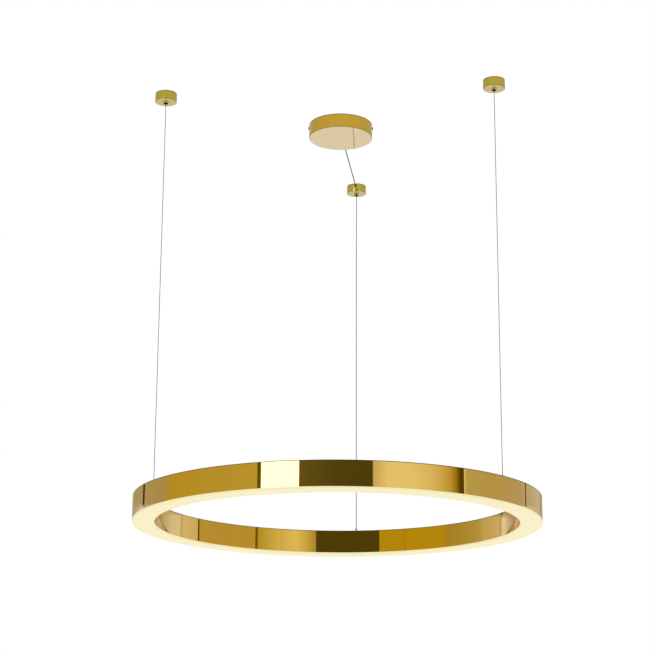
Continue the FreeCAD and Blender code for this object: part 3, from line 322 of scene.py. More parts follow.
def new_group(name, sockets):
    """A geometry tree with named inputs, its input node and its output socket."""
    group = bpy.data.node_groups.new(name, "GeometryNodeTree")
    group.interface.new_socket("Geometry", in_out="INPUT", socket_type="NodeSocketGeometry")
    for label, kind in sockets:
        group.interface.new_socket(label, in_out="INPUT", socket_type=kind)
    group.interface.new_socket("Geometry", in_out="OUTPUT", socket_type="NodeSocketGeometry")
    return group, group.nodes.new("NodeGroupInput"), group.nodes.new("NodeGroupOutput")


def grown(name, data, group, values):
    """Runs a geometry tree on the data and keeps the result as a plain mesh."""
    seed = put(name + " seed", data)
    modifier = seed.modifiers.new("grow", "NODES")
    modifier.node_group = group
    for item in group.interface.items_tree:
        if item.in_out == "INPUT" and item.name in values:
            modifier[item.identifier] = values[item.name]
    bpy.context.view_layer.update()
    mesh = bpy.data.meshes.new_from_object(seed.evaluated_get(bpy.context.evaluated_depsgraph_get()))
    mesh.name = name
    seed.modifiers.clear()
    bpy.data.objects.remove(seed)
    return mesh


strand_group, given, result = new_group("laid strands", [
    ("Strands", "NodeSocketInt"), ("Strand radius", "NodeSocketFloat"), ("Circle radius", "NodeSocketFloat"),
    ("Core radius", "NodeSocketFloat"), ("Lay", "NodeSocketFloat"), ("Step", "NodeSocketFloat"),
    ("Sides", "NodeSocketInt"), ("Finish", "NodeSocketMaterial")])
fine = add(strand_group, "GeometryNodeResampleCurve",
           {"Curve": given.outputs["Geometry"], "Length": given.outputs["Step"]}, mode="LENGTH")
many = add(strand_group, "GeometryNodeDuplicateElements",
           {"Geometry": fine.outputs[0], "Amount": given.outputs["Strands"]}, domain="SPLINE")
place = add(strand_group, "GeometryNodeInputPosition")
height = add(strand_group, "ShaderNodeSeparateXYZ", {0: place.outputs[0]})
laps = add(strand_group, "ShaderNodeMath", {0: height.outputs["Z"], 1: given.outputs["Lay"]},
           operation="DIVIDE")
first = add(strand_group, "ShaderNodeMath", {0: many.outputs["Duplicate Index"], 1: given.outputs["Strands"]},
            operation="DIVIDE")
turn = add(strand_group, "ShaderNodeMath", {0: laps.outputs[0], 1: first.outputs[0]}, operation="ADD")
turn = add(strand_group, "ShaderNodeMath", {0: turn.outputs[0], 1: math.tau}, operation="MULTIPLY")
across = add(strand_group, "ShaderNodeMath", {0: turn.outputs[0]}, operation="COSINE")
along = add(strand_group, "ShaderNodeMath", {0: turn.outputs[0]}, operation="SINE")
spot = add(strand_group, "ShaderNodeCombineXYZ", {"X": across.outputs[0], "Y": along.outputs[0]})
spot = add(strand_group, "ShaderNodeVectorMath",
           {0: spot.outputs[0], "Scale": given.outputs["Circle radius"]}, operation="SCALE")
laid = add(strand_group, "GeometryNodeSetPosition",
           {"Geometry": many.outputs["Geometry"], "Offset": spot.outputs[0]})
round_strand = add(strand_group, "GeometryNodeCurvePrimitiveCircle",
                   {"Resolution": given.outputs["Sides"], "Radius": given.outputs["Strand radius"]})
strands = add(strand_group, "GeometryNodeCurveToMesh",
              {"Curve": laid.outputs[0], "Profile Curve": round_strand.outputs[0], "Fill Caps": True})
round_core = add(strand_group, "GeometryNodeCurvePrimitiveCircle",
                 {"Resolution": given.outputs["Sides"], "Radius": given.outputs["Core radius"]})
core = add(strand_group, "GeometryNodeCurveToMesh",
           {"Curve": fine.outputs[0], "Profile Curve": round_core.outputs[0], "Fill Caps": True})
joined = add(strand_group, "GeometryNodeJoinGeometry")
strand_group.links.new(strands.outputs[0], joined.inputs[0])
strand_group.links.new(core.outputs[0], joined.inputs[0])
smooth = add(strand_group, "GeometryNodeSetShadeSmooth", {"Geometry": joined.outputs[0]})
real = add(strand_group, "GeometryNodeRealizeInstances", {0: smooth.outputs[0]})
worn = add(strand_group, "GeometryNodeSetMaterial",
           {"Geometry": real.outputs[0], "Material": given.outputs["Finish"]})
strand_group.links.new(worn.outputs[0], result.inputs[0])

# Drawn stainless wire, drawn fine and left with its drawing oil: mid grey, duller in the valleys.
steel, tree = start_material("drawn stainless wire")
grain = grain_on(tree, 900.0, 2.0)
shade = blend(tree, grain, "#37383a", "#4a4b4d")
rough = spread(tree, grain, 0.28, 0.44)
surface(tree, {"Base Color": shade, "Metallic": 1.0, "Roughness": rough,
               "Specular Tint": linear("#8c8c8c")})

# Tinned copper under a clear jacket: the same grey, softer, with a thin gloss over it.
tinned, tree = start_material("tinned strands in a clear jacket")
grain = grain_on(tree, 700.0, 2.0)
shade = blend(tree, grain, "#343332", "#484745")
surface(tree, {"Base Color": shade, "Metallic": 0.7, "Roughness": 0.42, "Specular Tint": linear("#8c8c8c"),
               "Coat Weight": 0.2, "Coat Roughness": 0.12})

for name, node, radius, strand_count, finish, slot in (
        ("left", "left_suspension_wire", 0.0006, 6, steel, "steel_wire"),
        ("right", "right_suspension_wire", 0.0006, 6, steel, "steel_wire"),
        ("rear", "rear_suspension_cable", 0.00075, 12, tinned, "cable_jacket")):
    x, y = line_place(name)
    middle = (LEAN_POINT + BALL_CENTRE) / 2
    curve = route(node + " route", [(x, y, LEAN_POINT), (x, y, middle), (x, y, BALL_CENTRE)])
    run = route_points(curve)
    # the strands touch their neighbours round the core and reach the line's full radius
    strand_r = radius * math.sin(math.pi / strand_count) / (1 + math.sin(math.pi / strand_count))
    line = put(node + "_strands", grown(node, curve, strand_group, {
        "Strands": strand_count, "Strand radius": strand_r, "Circle radius": radius - strand_r,
        "Core radius": radius - CORE_SINK * strand_r, "Lay": radius * LAY_RADII, "Step": radius * STEP_RADII,
        "Sides": 6, "Finish": finish}))
    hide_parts(node)
    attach(line, name + "_line")
    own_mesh(line)

# ---- The ceiling lead: 2.2 mm sheathed cable from the driver's output, through the clamp and the canopy's
# grommet, straight across the ceiling and into the rear cap, where the splice takes it.
sheath, tree = start_material("grey cable sheath")
grain = grain_on(tree, 260.0, 3.0)
shade = blend(tree, grain, "#302f2e", "#3f3e3c")
rise = bumps(tree, grain, 0.3, 0.0001)
surface(tree, {"Base Color": shade, "Roughness": 0.45, "Normal": rise})
CANOPY_X = 0.003
CANOPY_Y = 0.011
CANOPY_TURN = 6.6
LEAD_R = 0.0011
LEAD_LEVEL = -0.0046
LEAD_WAY = 31                 # millimetres from the canopy's middle to where the lead turns to the rear cap
SPLICE_END = 0.012            # from the rear line to the splice's near end
PORT_PLACE = 36               # millimetres from the canopy's middle to the driver's two ports
PORT_LEVEL = -0.0135


def canopy_point(along, across, height):
    """A point given in millimetres in the canopy's own axes, in the object's frame."""
    turn = math.radians(CANOPY_TURN)
    x = CANOPY_X + (along * math.cos(turn) - across * math.sin(turn)) / 1000
    y = CANOPY_Y + (along * math.sin(turn) + across * math.cos(turn)) / 1000
    return x, y, height


def sheathed(name, points, radius):
    """A round cable along a smooth route."""
    curve = route(name, points)
    curve.bevel_depth = radius
    curve.bevel_resolution = 4
    curve.use_fill_caps = True
    return curve


way_y = canopy_point(0, LEAD_WAY, 0)[1]
lead_points = [
    canopy_point(-PORT_PLACE, 0, PORT_LEVEL),
    canopy_point(-PORT_PLACE - 12, 0, PORT_LEVEL),
    canopy_point(-PORT_PLACE - 14, 13, PORT_LEVEL + 0.002),
    canopy_point(-PORT_PLACE - 3, 23, PORT_LEVEL + 0.005),
    canopy_point(-22, 19, LEAD_LEVEL - 0.002),
    canopy_point(-6, 21, LEAD_LEVEL),
    (0.0, way_y, LEAD_LEVEL),
    (0.0, way_y + 0.012, LEAD_LEVEL),
    (0.0, MIDDLE_R - SPLICE_END, LEAD_LEVEL)]
lead = put("ceiling_lead_sheath", sheathed("ceiling_lead", lead_points, LEAD_R), sheath)
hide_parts("ceiling_lead")
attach(lead, "ceiling")

# ---- The ring's bands: strips of stainless sheet, rolled round, polished to a mirror and plated gold. The
# lower edges are broken by a quarter of a millimetre. A mirror this long always waves a little, by a few
# microns.
RING_OUTER_R = 0.400
RING_INNER_R = 0.3565
RING_TOP = -0.7966
RING_BOTTOM = -0.8440
BAND_SHEET = 0.001
TOP_SHEET = 0.0012
EDGE_BREAK = 0.00025
RING_STEPS = 720
SHARP = math.radians(28)      # edges that turn by more than this are drawn sharp
GOLD = "#e4b95b"


def polished_gold(name, code, roughness, wave_mm, wave_um):
    """Mirror-polished plating: its colour, how clear it is, and how long and high its waves are."""
    material, tree = start_material(name)
    wave = grain_on(tree, 1000 / wave_mm, 1.0)
    # polishing haze, in patches about 12 mm across
    haze = grain_on(tree, 80.0, 3.0)
    rough = spread(tree, haze, roughness * 0.7, roughness * 1.4)
    deep = [value * 0.94 for value in linear(code)[:3]] + [1.0]
    shade = add(tree, "ShaderNodeMix", {0: haze, 6: deep, 7: linear(code)}, data_type="RGBA").outputs[2]
    rise = bumps(tree, wave, 1.0, wave_um / 1e6)
    surface(tree, {"Base Color": shade, "Metallic": 1.0, "Roughness": rough, "Normal": rise})
    return material


def lathe(name, profile, centre=(0.0, 0.0), steps=96):
    """A closed loop of (radius, height) corners, swept round a vertical axis. It closes on the axis."""
    shell = bmesh.new()
    rows = []
    for radius, height in profile:
        if radius < 1e-7:
            rows.append([shell.verts.new((centre[0], centre[1], height))])
            continue
        row = []
        for step in range(steps):
            turn = math.tau * step / steps
            row.append(shell.verts.new((centre[0] + radius * math.cos(turn),
                                        centre[1] + radius * math.sin(turn), height)))
        rows.append(row)
    for row, after in zip(rows, rows[1:] + rows[:1]):
        if len(row) == 1 and len(after) == 1:
            continue
        for step in range(steps):
            ahead = (step + 1) % steps
            if len(row) == 1:
                shell.faces.new((row[0], after[ahead], after[step]))
            elif len(after) == 1:
                shell.faces.new((row[step], row[ahead], after[0]))
            else:
                shell.faces.new((row[step], row[ahead], after[ahead], after[step]))
    bmesh.ops.recalc_face_normals(shell, faces=shell.faces)
    mesh = bpy.data.meshes.new(name)
    shell.to_mesh(mesh)
    shell.free()
    mesh.shade_smooth()
    mesh.set_sharp_from_angle(angle=SHARP)
    return mesh


def rounding(centre_r, centre_z, radius, start, end, count=6):
    """Corners along a rounded edge, from one angle to another in degrees, 0 outwards and 90 up."""
    made = []
    for number in range(count + 1):
        turn = math.radians(start + (end - start) * number / count)
        made.append((centre_r + radius * math.cos(turn), centre_z + radius * math.sin(turn)))
    return made


band_gold = polished_gold("mirror gold plated band", GOLD, 0.012, 130.0, 4.0)
for name, face_r, way in (("ring_outer_band", RING_OUTER_R, -1), ("ring_inner_band", RING_INNER_R, 1)):
    back_r = face_r + way * BAND_SHEET
    strip = put(name + "_polished", lathe(name, [
        (face_r + way * EDGE_BREAK, RING_BOTTOM),
        (back_r, RING_BOTTOM),
        (back_r, RING_TOP - TOP_SHEET),
        (face_r, RING_TOP - TOP_SHEET),
        (face_r, RING_BOTTOM + EDGE_BREAK)], steps=RING_STEPS), band_gold)
    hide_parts(name)
    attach(strip, "ring")

# ---- The ring's top plate: one laser-cut annulus over both bands, brushed round and plated like them. Its
# cut edge is a shade duller, which draws a thin darker line along the ring's top.
PLATE_EDGE = 0.0003
brushed_gold, tree = start_material("brushed gold plated plate")
where = add(tree, "ShaderNodeTexCoord")
flat = add(tree, "ShaderNodeVectorMath", {0: where.outputs["Object"], 1: (1.0, 1.0, 0.0)},
           operation="MULTIPLY")
reach = add(tree, "ShaderNodeVectorMath", {0: flat.outputs[0]}, operation="LENGTH")
# brush lines run round the ring; real ones are 0.05 mm apart, drawn at 0.4 mm so that they show
brush = add(tree, "ShaderNodeTexNoise", {"W": reach.outputs["Value"], "Scale": 2500.0, "Detail": 2.0},
            noise_dimensions="1D").outputs[0]
rough = spread(tree, brush, 0.2, 0.34)
shade = blend(tree, brush, "#b8913f", "#d0a850")
rise = bumps(tree, brush, 0.25, 0.00002)
surface(tree, {"Base Color": shade, "Metallic": 1.0, "Roughness": rough, "Normal": rise})
# the laser leaves the edge dark and matt, and the plating over it stays thin
# the same dark material is also the painted shadow round the caps' and the canopy's rims, where they meet the
# ceiling
cut_edge_and_rim_shadow, tree = start_material("dark laser-cut edge and painted rim shadow")
# drag lines of the cut, half a millimetre apart round the ring
drag = grain_on(tree, 2000.0, 1.0)
shade = blend(tree, drag, "#33290f", "#54461f")
surface(tree, {"Base Color": shade, "Metallic": 1.0, "Roughness": 0.5})
plate_mesh = lathe("ring_top_plate", [
    (RING_INNER_R, RING_TOP - TOP_SHEET),
    (RING_OUTER_R, RING_TOP - TOP_SHEET),
    *rounding(RING_OUTER_R - PLATE_EDGE, RING_TOP - PLATE_EDGE, PLATE_EDGE, 0, 90, 3),
    *rounding(RING_INNER_R + PLATE_EDGE, RING_TOP - PLATE_EDGE, PLATE_EDGE, 90, 180, 3)], steps=RING_STEPS)
plate = put("ring_top_plate_brushed", plate_mesh, brushed_gold)
plate_mesh.materials.append(cut_edge_and_rim_shadow)
for face in plate_mesh.polygons:
    if abs(face.normal.z) < 0.9:
        face.material_index = 1
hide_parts("ring_top_plate")
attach(plate, "ring")

# ---- The diffuser: an opal acrylic extrusion, bent round, satin outside. Its plate lies under both bands
# and its legs snap over the channel's ledges. The boards behind it light it evenly, warm white; its
# rounded lower corners glow a shade greyer, which is painted shade.
DIFFUSER_SHEET = 0.0028
DIFFUSER_INSET = 0.0002
DIFFUSER_EDGE = 0.0006
LEDGE_SHEET = 0.0012
LEG_SHEET = 0.0014
HOOK_REACH = 0.0012
HOOK_HEIGHT = 0.0016
CHANNEL_GAP = 0.0004          # between the channel's flanges and the bands
CHANNEL_WALL = 0.0015
LEDGE_WIDTH = 0.002
SNAP_GAP = 0.0002             # between the ledges and the diffuser


def opal_acrylic(name, glow, strength):
    """Lit satin acrylic: what shows is mostly its own light, a little cloudy, under a satin skin."""
    material, tree = start_material(name)
    # faint clouds about 15 mm across, from the boards behind
    cloud = grain_on(tree, 60.0, 2.0)
    power = spread(tree, cloud, strength * 0.97, strength * 1.03)
    body = blend(tree, cloud, "#878273", "#8f8a7b")
    surface(tree, {"Base Color": body, "Roughness": 0.42, "Emission Color": linear(glow),
                   "Emission Strength": power})
    return material


low = RING_BOTTOM - DIFFUSER_SHEET
ledge_top = RING_BOTTOM + SNAP_GAP + LEDGE_SHEET
leg_in = RING_INNER_R + BAND_SHEET + CHANNEL_GAP + CHANNEL_WALL + LEDGE_WIDTH + SNAP_GAP
leg_out = RING_OUTER_R + RING_INNER_R - leg_in
plate_in = RING_INNER_R + DIFFUSER_INSET
plate_out = RING_OUTER_R - DIFFUSER_INSET
strip_mesh = lathe("ring_diffuser", [
    *rounding(plate_in + DIFFUSER_EDGE, low + DIFFUSER_EDGE, DIFFUSER_EDGE, 180, 270, 4),
    *rounding(plate_out - DIFFUSER_EDGE, low + DIFFUSER_EDGE, DIFFUSER_EDGE, 270, 360, 4),
    (plate_out, RING_BOTTOM), (leg_out, RING_BOTTOM), (leg_out, ledge_top), (leg_out + HOOK_REACH, ledge_top),
    (leg_out, ledge_top + HOOK_HEIGHT), (leg_out - LEG_SHEET, ledge_top + HOOK_HEIGHT),
    (leg_out - LEG_SHEET, RING_BOTTOM), (leg_in + LEG_SHEET, RING_BOTTOM),
    (leg_in + LEG_SHEET, ledge_top + HOOK_HEIGHT), (leg_in, ledge_top + HOOK_HEIGHT),
    (leg_in - HOOK_REACH, ledge_top), (leg_in, ledge_top), (leg_in, RING_BOTTOM), (plate_in, RING_BOTTOM)],
    steps=RING_STEPS)
glow_strip = put("ring_diffuser_opal", strip_mesh, opal_acrylic("satin opal acrylic, lit", "#fdf2bb", 0.62))
# the rounded corners get a dimmer, greyer copy of the lit acrylic: painted shade
strip_mesh.materials.append(opal_acrylic("opal acrylic, painted shade at the corners", "#e6dfbe", 0.5))
for face in strip_mesh.polygons:
    if -0.93 < face.normal.z < -0.3:
        face.material_index = 1
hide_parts("ring_diffuser")
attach(glow_strip, "ring")

# ---- The hanger sockets: brass collars turned on a lathe and plated, which clamp the top plate. One stands
# under each line, its ferrule's ball sits inside, and its mouth flares so that the ferrule can lean.
SOCKET_R = 0.004
SOCKET_BORE_R = 0.0021        # round the ball
SOCKET_DEPTH = 0.009
FLANGE_R = 0.005
FLANGE_HEIGHT = 0.002
FLANGE_EDGE = 0.0005
MOUTH_R = 0.00235
THROAT_R = 0.00165            # over the ball, which it holds down
THROAT_DEPTH = 0.003
TURNED_STEPS = 48
copy_group, given, result = new_group("one at each line", [("Finish", "NodeSocketMaterial")])
spots = add(copy_group, "GeometryNodeMeshCircle", {"Vertices": 3, "Radius": MIDDLE_R})
aimed = add(copy_group, "GeometryNodeTransform", {"Geometry": spots.outputs[0],
                                                  "Rotation": (0.0, 0.0, math.radians(90.0))})
several = add(copy_group, "GeometryNodeInstanceOnPoints", {"Points": aimed.outputs[0],
                                                           "Instance": given.outputs["Geometry"]})
real = add(copy_group, "GeometryNodeRealizeInstances", {0: several.outputs[0]})
worn = add(copy_group, "GeometryNodeSetMaterial",
           {"Geometry": real.outputs[0], "Material": given.outputs["Finish"]})
copy_group.links.new(worn.outputs[0], result.inputs[0])
fitting_gold = polished_gold("gold plated turned brass", "#c9a552", 0.12, 9.0, 1.5)
sockets = put("hanger_sockets_turned", grown("hanger_sockets", lathe("one hanger socket", [
    (SOCKET_BORE_R, RING_TOP - SOCKET_DEPTH), (SOCKET_R, RING_TOP - SOCKET_DEPTH), (SOCKET_R, RING_TOP),
    (FLANGE_R, RING_TOP),
    *rounding(FLANGE_R - FLANGE_EDGE, RING_TOP + FLANGE_HEIGHT - FLANGE_EDGE, FLANGE_EDGE, 0, 90, 4),
    (MOUTH_R, RING_TOP + FLANGE_HEIGHT), (THROAT_R, RING_TOP - THROAT_DEPTH),
    (SOCKET_BORE_R, RING_TOP - THROAT_DEPTH)], steps=TURNED_STEPS), copy_group, {"Finish": fitting_gold}))
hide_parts("hanger_sockets")
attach(sockets, "ring")

# ---- Nickel plate: bright on the grippers' balls, the terminals' screws and the earth screw, black on the
# ferrules. A ferrule is a ball with a crimped sleeve up the line, and its dark sleeve is the only part of a
# hanger that shows from below.
nickel, tree = start_material("bright nickel plate")
grain = grain_on(tree, 500.0, 3.0)
rough = spread(tree, grain, 0.12, 0.26)
surface(tree, {"Base Color": linear("#c3c1bb"), "Metallic": 1.0, "Roughness": rough})


def dress(material, *names):
    """Gives the model's own pieces a finish; their shapes stay as they are."""
    for name in names:
        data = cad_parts[name].data
        data.materials.clear()
        data.materials.append(material)


dress(nickel, "left_gripper_balls", "right_gripper_balls", "rear_gripper_balls", "terminal_screws",
      "earth_screw")
black_nickel, tree = start_material("black nickel plate")
grain = grain_on(tree, 600.0, 3.0)
rough = spread(tree, grain, 0.2, 0.36)
surface(tree, {"Base Color": linear("#4b4844"), "Metallic": 1.0, "Roughness": rough})
dress(black_nickel, "left_ferrule", "right_ferrule", "rear_ferrule")

# ---- The ceiling caps: spun brass cups, polished and plated a slightly greener gold than the ring, screwed
# onto their bases. The rear one has a notch in its rim, towards the canopy, for the ceiling lead.
CAP_R = 0.02155
CAP_HEIGHT = 0.0177
CAP_SHEET = 0.0012
CAP_FLOOR = 0.0015
CAP_EDGE = 0.0008
CAP_CORNER = 0.0006           # inside, between wall and floor
CAP_HOLE_R = 0.00405
CAP_CUT = 0.003               # how far in from the wall the notch's cutting shape reaches
NOTCH_R = 0.0019
PAST_RIM = 0.001              # how far a cutting shape reaches past what it cuts
RIM_SHADOW_DEPTH = 0.0012             # how far down the painted shadow round a rim reaches
RIM_EDGE = 0.0002
cap_gold = polished_gold("gold plated spun cap", "#d2bc62", 0.10, 14.0, 3.0)
# the flat lower face is a paler gold: a painted highlight
cap_face_highlight_gold = polished_gold("pale gold cap face, painted highlight", "#dac284", 0.12, 10.0, 3.0)
# a rounded edge is painted a darker gold, a painted dark reflection
edge_dark_reflection_gold = polished_gold("gold with a painted dark reflection over a drawn edge", "#78662f", 0.22, 6.0, 2.0)


def part_faces(mesh, face_highlight_material, rim_shadow_material, edge_reflection_material):
    """Gives a cup's flat lower face its paler gold, a painted highlight, the line round its rim its painted
    shadow and its rounded edge its painted dark reflection.
    """
    for material in (face_highlight_material, rim_shadow_material, edge_reflection_material):
        mesh.materials.append(material)
    # lower face: painted highlight; top of the wall: painted shadow; rounded edge: painted dark reflection
    for face in mesh.polygons:
        if face.normal.z < -0.97:
            face.material_index = 1
        elif face.center.z > -RIM_SHADOW_DEPTH:
            face.material_index = 2
        elif face.normal.z < -0.12:
            face.material_index = 3


def prism(outline, start, end):
    """A closed solid with an (x, z) outline, from one y to another."""
    shell = bmesh.new()
    near = [shell.verts.new((a, start, b)) for a, b in outline]
    far = [shell.verts.new((a, end, b)) for a, b in outline]
    shell.faces.new(near)
    shell.faces.new(far)
    for number in range(len(near)):
        after = (number + 1) % len(near)
        shell.faces.new((near[number], near[after], far[after], far[number]))
    bmesh.ops.recalc_face_normals(shell, faces=shell.faces)
    mesh = bpy.data.meshes.new("prism")
    shell.to_mesh(mesh)
    shell.free()
    return mesh


def carve(name, piece_mesh, tool_mesh):
    """Takes the tool's shape out of the piece."""
    tool = put(name + " tool", tool_mesh)
    piece = put(name + " uncut", piece_mesh)
    modifier = piece.modifiers.new("cut", "BOOLEAN")
    modifier.object = tool
    modifier.solver = "EXACT"
    bpy.context.view_layer.update()
    mesh = bpy.data.meshes.new_from_object(piece.evaluated_get(bpy.context.evaluated_depsgraph_get()))
    bpy.data.objects.remove(piece)
    bpy.data.objects.remove(tool)
    mesh.name = name
    mesh.set_sharp_from_angle(angle=SHARP)
    return mesh


def lead_notch(x):
    """The outline of a round-bottomed notch for the ceiling lead's grommet, open at the ceiling."""
    bottom = rounding(x, LEAD_LEVEL, NOTCH_R, 180, 360, 12)
    return [(x - NOTCH_R, PAST_RIM), *bottom, (x + NOTCH_R, PAST_RIM)]


for name in LINE_TURNS:
    x, y = line_place(name)
    cup = lathe(name + "_cap_cover", [
        (CAP_HOLE_R, -CAP_HEIGHT),
        *rounding(CAP_R - CAP_EDGE, -CAP_HEIGHT + CAP_EDGE, CAP_EDGE, 270, 360, 6),
        (CAP_R, -RIM_SHADOW_DEPTH),
        *rounding(CAP_R - RIM_EDGE, -RIM_EDGE, RIM_EDGE, 0, 90, 2),
        (CAP_R - CAP_SHEET, 0.0),
        (CAP_R - CAP_SHEET, -CAP_HEIGHT + CAP_FLOOR + CAP_CORNER),
        (CAP_R - CAP_SHEET - CAP_CORNER, -CAP_HEIGHT + CAP_FLOOR),
        (CAP_HOLE_R, -CAP_HEIGHT + CAP_FLOOR)], (x, y), 160)
    if name == "rear":
        cup = carve(name + "_cap_cover", cup, prism(lead_notch(x), y - CAP_R - PAST_RIM, y - CAP_R + CAP_CUT))
    cover = put(name + "_cap_cover_spun", cup, cap_gold)
    part_faces(cup, cap_face_highlight_gold, cut_edge_and_rim_shadow, edge_dark_reflection_gold)
    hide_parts(name + "_cap_cover")
    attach(cover, "ceiling")

# ---- The grippers: a turned body whose hollow collar shows under each cap, with the release plunger's
# nozzle in the middle of it. Pressing the nozzle up frees the line. The collar wears the cap's paler gold,
# with its painted highlight; the nozzle is left in the turning's dark bronze, and the same dark bronze in
# the collar's hollow is painted shade.
COLLAR_R = 0.0055
COLLAR_WALL = 0.0008
COLLAR_HEIGHT = 0.0028
COLLAR_RECESS = 0.0022
COLLAR_EDGE = 0.0003
GRIPPER_R = 0.004
GRIPPER_TOP = -0.0077
GUIDE_R = 0.00208             # round the plunger
WIRE_BORE_R = 0.00105
CHAMBER_R = 0.00305
CHAMBER_TOP = -0.0087
CONE_R = 0.00235              # the ball cone, from its narrow lower end to the chamber's full width
CONE_TOP = -0.0127
CONE_BOTTOM = -0.0162
TOUCH = 0.00001               # play when the hollow's faces are looked for
collar_low = -CAP_HEIGHT - COLLAR_HEIGHT
hollow_top = collar_low + COLLAR_RECESS
hollow_r = COLLAR_R - COLLAR_WALL
bodies_mesh = grown("gripper_bodies", lathe("one gripper body", [
    (GUIDE_R, hollow_top), (hollow_r, hollow_top), (hollow_r, collar_low),
    *rounding(COLLAR_R - COLLAR_EDGE, collar_low + COLLAR_EDGE, COLLAR_EDGE, 270, 360, 3),
    (COLLAR_R, -CAP_HEIGHT), (GRIPPER_R, -CAP_HEIGHT), (GRIPPER_R, GRIPPER_TOP), (WIRE_BORE_R, GRIPPER_TOP),
    (WIRE_BORE_R, CHAMBER_TOP), (CHAMBER_R, CHAMBER_TOP), (CHAMBER_R, CONE_TOP), (CONE_R, CONE_BOTTOM),
    (GUIDE_R, CONE_BOTTOM)], steps=TURNED_STEPS), copy_group, {"Finish": cap_face_highlight_gold})
# dark bronze: the plungers' own colour, and painted shade in the collars' hollows
bronze_and_recess_shade = polished_gold("dark bronze gripper", "#3c2a10", 0.2, 8.0, 2.0)
bodies_mesh.materials.clear()
bodies_mesh.materials.append(cap_face_highlight_gold)
bodies_mesh.materials.append(bronze_and_recess_shade)
line_places = [Vector((*line_place(name), 0.0)) for name in LINE_TURNS]
for face in bodies_mesh.polygons:
    flat = Vector((face.center.x, face.center.y, 0.0))
    reach = min((flat - place).length for place in line_places)
    # the collar's hollow gets the dark bronze as painted shade
    inside = reach < hollow_r + TOUCH and face.center.z < hollow_top + TOUCH
    face.material_index = 1 if inside else 0
collars = put("gripper_bodies_turned", bodies_mesh)
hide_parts("gripper_bodies")
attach(collars, "ceiling")
dress(bronze_and_recess_shade, "left_gripper_plunger", "right_gripper_plunger", "rear_gripper_plunger")

# ---- Zinc plated steel: cap bases, nuts, bracket, small screws and studs, all out of sight in use.
zinc, tree = start_material("zinc plated steel")
where = add(tree, "ShaderNodeTexCoord")
# plating blooms, in flakes about 4 mm across
flake = add(tree, "ShaderNodeTexVoronoi", {"Vector": where.outputs["Object"], "Scale": 250.0})
tone = add(tree, "ShaderNodeSeparateColor", {0: flake.outputs["Color"]})
shade = blend(tree, tone.outputs[0], "#a9acae", "#c2c4c3")
rough = spread(tree, tone.outputs[1], 0.3, 0.45)
surface(tree, {"Base Color": shade, "Metallic": 1.0, "Roughness": rough})
dress(zinc, "left_cap_base", "right_cap_base", "rear_cap_base", "gripper_nuts", "hanger_nuts",
      "channel_studs", "channel_nuts", "board_screws", "canopy_bracket", "driver_screws", "clamp_screws")

# ---- The plunger springs: round zinc plated wire, coiled four times between the plunger's head and the
# roof of its chamber. Each shortens as its plunger is pressed up.
SPRING_R = 0.0018
SPRING_WIRE = 0.0004
PLUNGER_HEAD = -0.0125
SPRING_GAP = 0.00005
spring_group, given, result = new_group("coil spring", [
    ("Turns", "NodeSocketFloat"), ("Coil radius", "NodeSocketFloat"), ("Height", "NodeSocketFloat"),
    ("Wire radius", "NodeSocketFloat"), ("Finish", "NodeSocketMaterial")])
coil = add(spring_group, "GeometryNodeCurveSpiral", {
    "Resolution": 32, "Rotations": given.outputs["Turns"], "Start Radius": given.outputs["Coil radius"],
    "End Radius": given.outputs["Coil radius"], "Height": given.outputs["Height"]})
section = add(spring_group, "GeometryNodeCurvePrimitiveCircle",
              {"Resolution": 10, "Radius": given.outputs["Wire radius"]})
wire = add(spring_group, "GeometryNodeCurveToMesh",
           {"Curve": coil.outputs[0], "Profile Curve": section.outputs[0], "Fill Caps": True})
real = add(spring_group, "GeometryNodeRealizeInstances", {0: wire.outputs[0]})
worn = add(spring_group, "GeometryNodeSetMaterial",
           {"Geometry": real.outputs[0], "Material": given.outputs["Finish"]})
spring_group.links.new(worn.outputs[0], result.inputs[0])
spring_low = PLUNGER_HEAD + SPRING_GAP + SPRING_WIRE / 2
spring_height = CHAMBER_TOP - PLUNGER_HEAD - 2 * SPRING_GAP - SPRING_WIRE
for name in LINE_TURNS:
    x, y = line_place(name)
    spring_mesh = grown(name + "_gripper_spring", bpy.data.meshes.new("seed"), spring_group, {
        "Turns": 4.0, "Coil radius": SPRING_R, "Height": spring_height, "Wire radius": SPRING_WIRE / 2,
        "Finish": zinc})
    spring_mesh.transform(Matrix.Translation((x, y, spring_low)))
    spring = put(name + "_gripper_spring_coiled", spring_mesh)
    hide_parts(name + "_gripper_spring")
    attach(spring, "ceiling")
    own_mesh(spring)

# ---- The canopy: a deep-drawn cup, mirror polished and plated. Its rim stands on the ceiling, with a
# painted shadow round it, its lower edge is rounded by a millimetre and carries a painted dark reflection,
# and its flat face is painted paler than its wall, a painted highlight.
CANOPY_R = 0.0658
CANOPY_HEIGHT = 0.0288
CANOPY_SHEET = 0.001
CANOPY_EDGE = 0.001
CANOPY_CORNER = 0.0005        # inside, between wall and face
CANOPY_CUT = 0.002
wall_gold = polished_gold("mirror gold canopy wall", GOLD, 0.07, 45.0, 5.0)
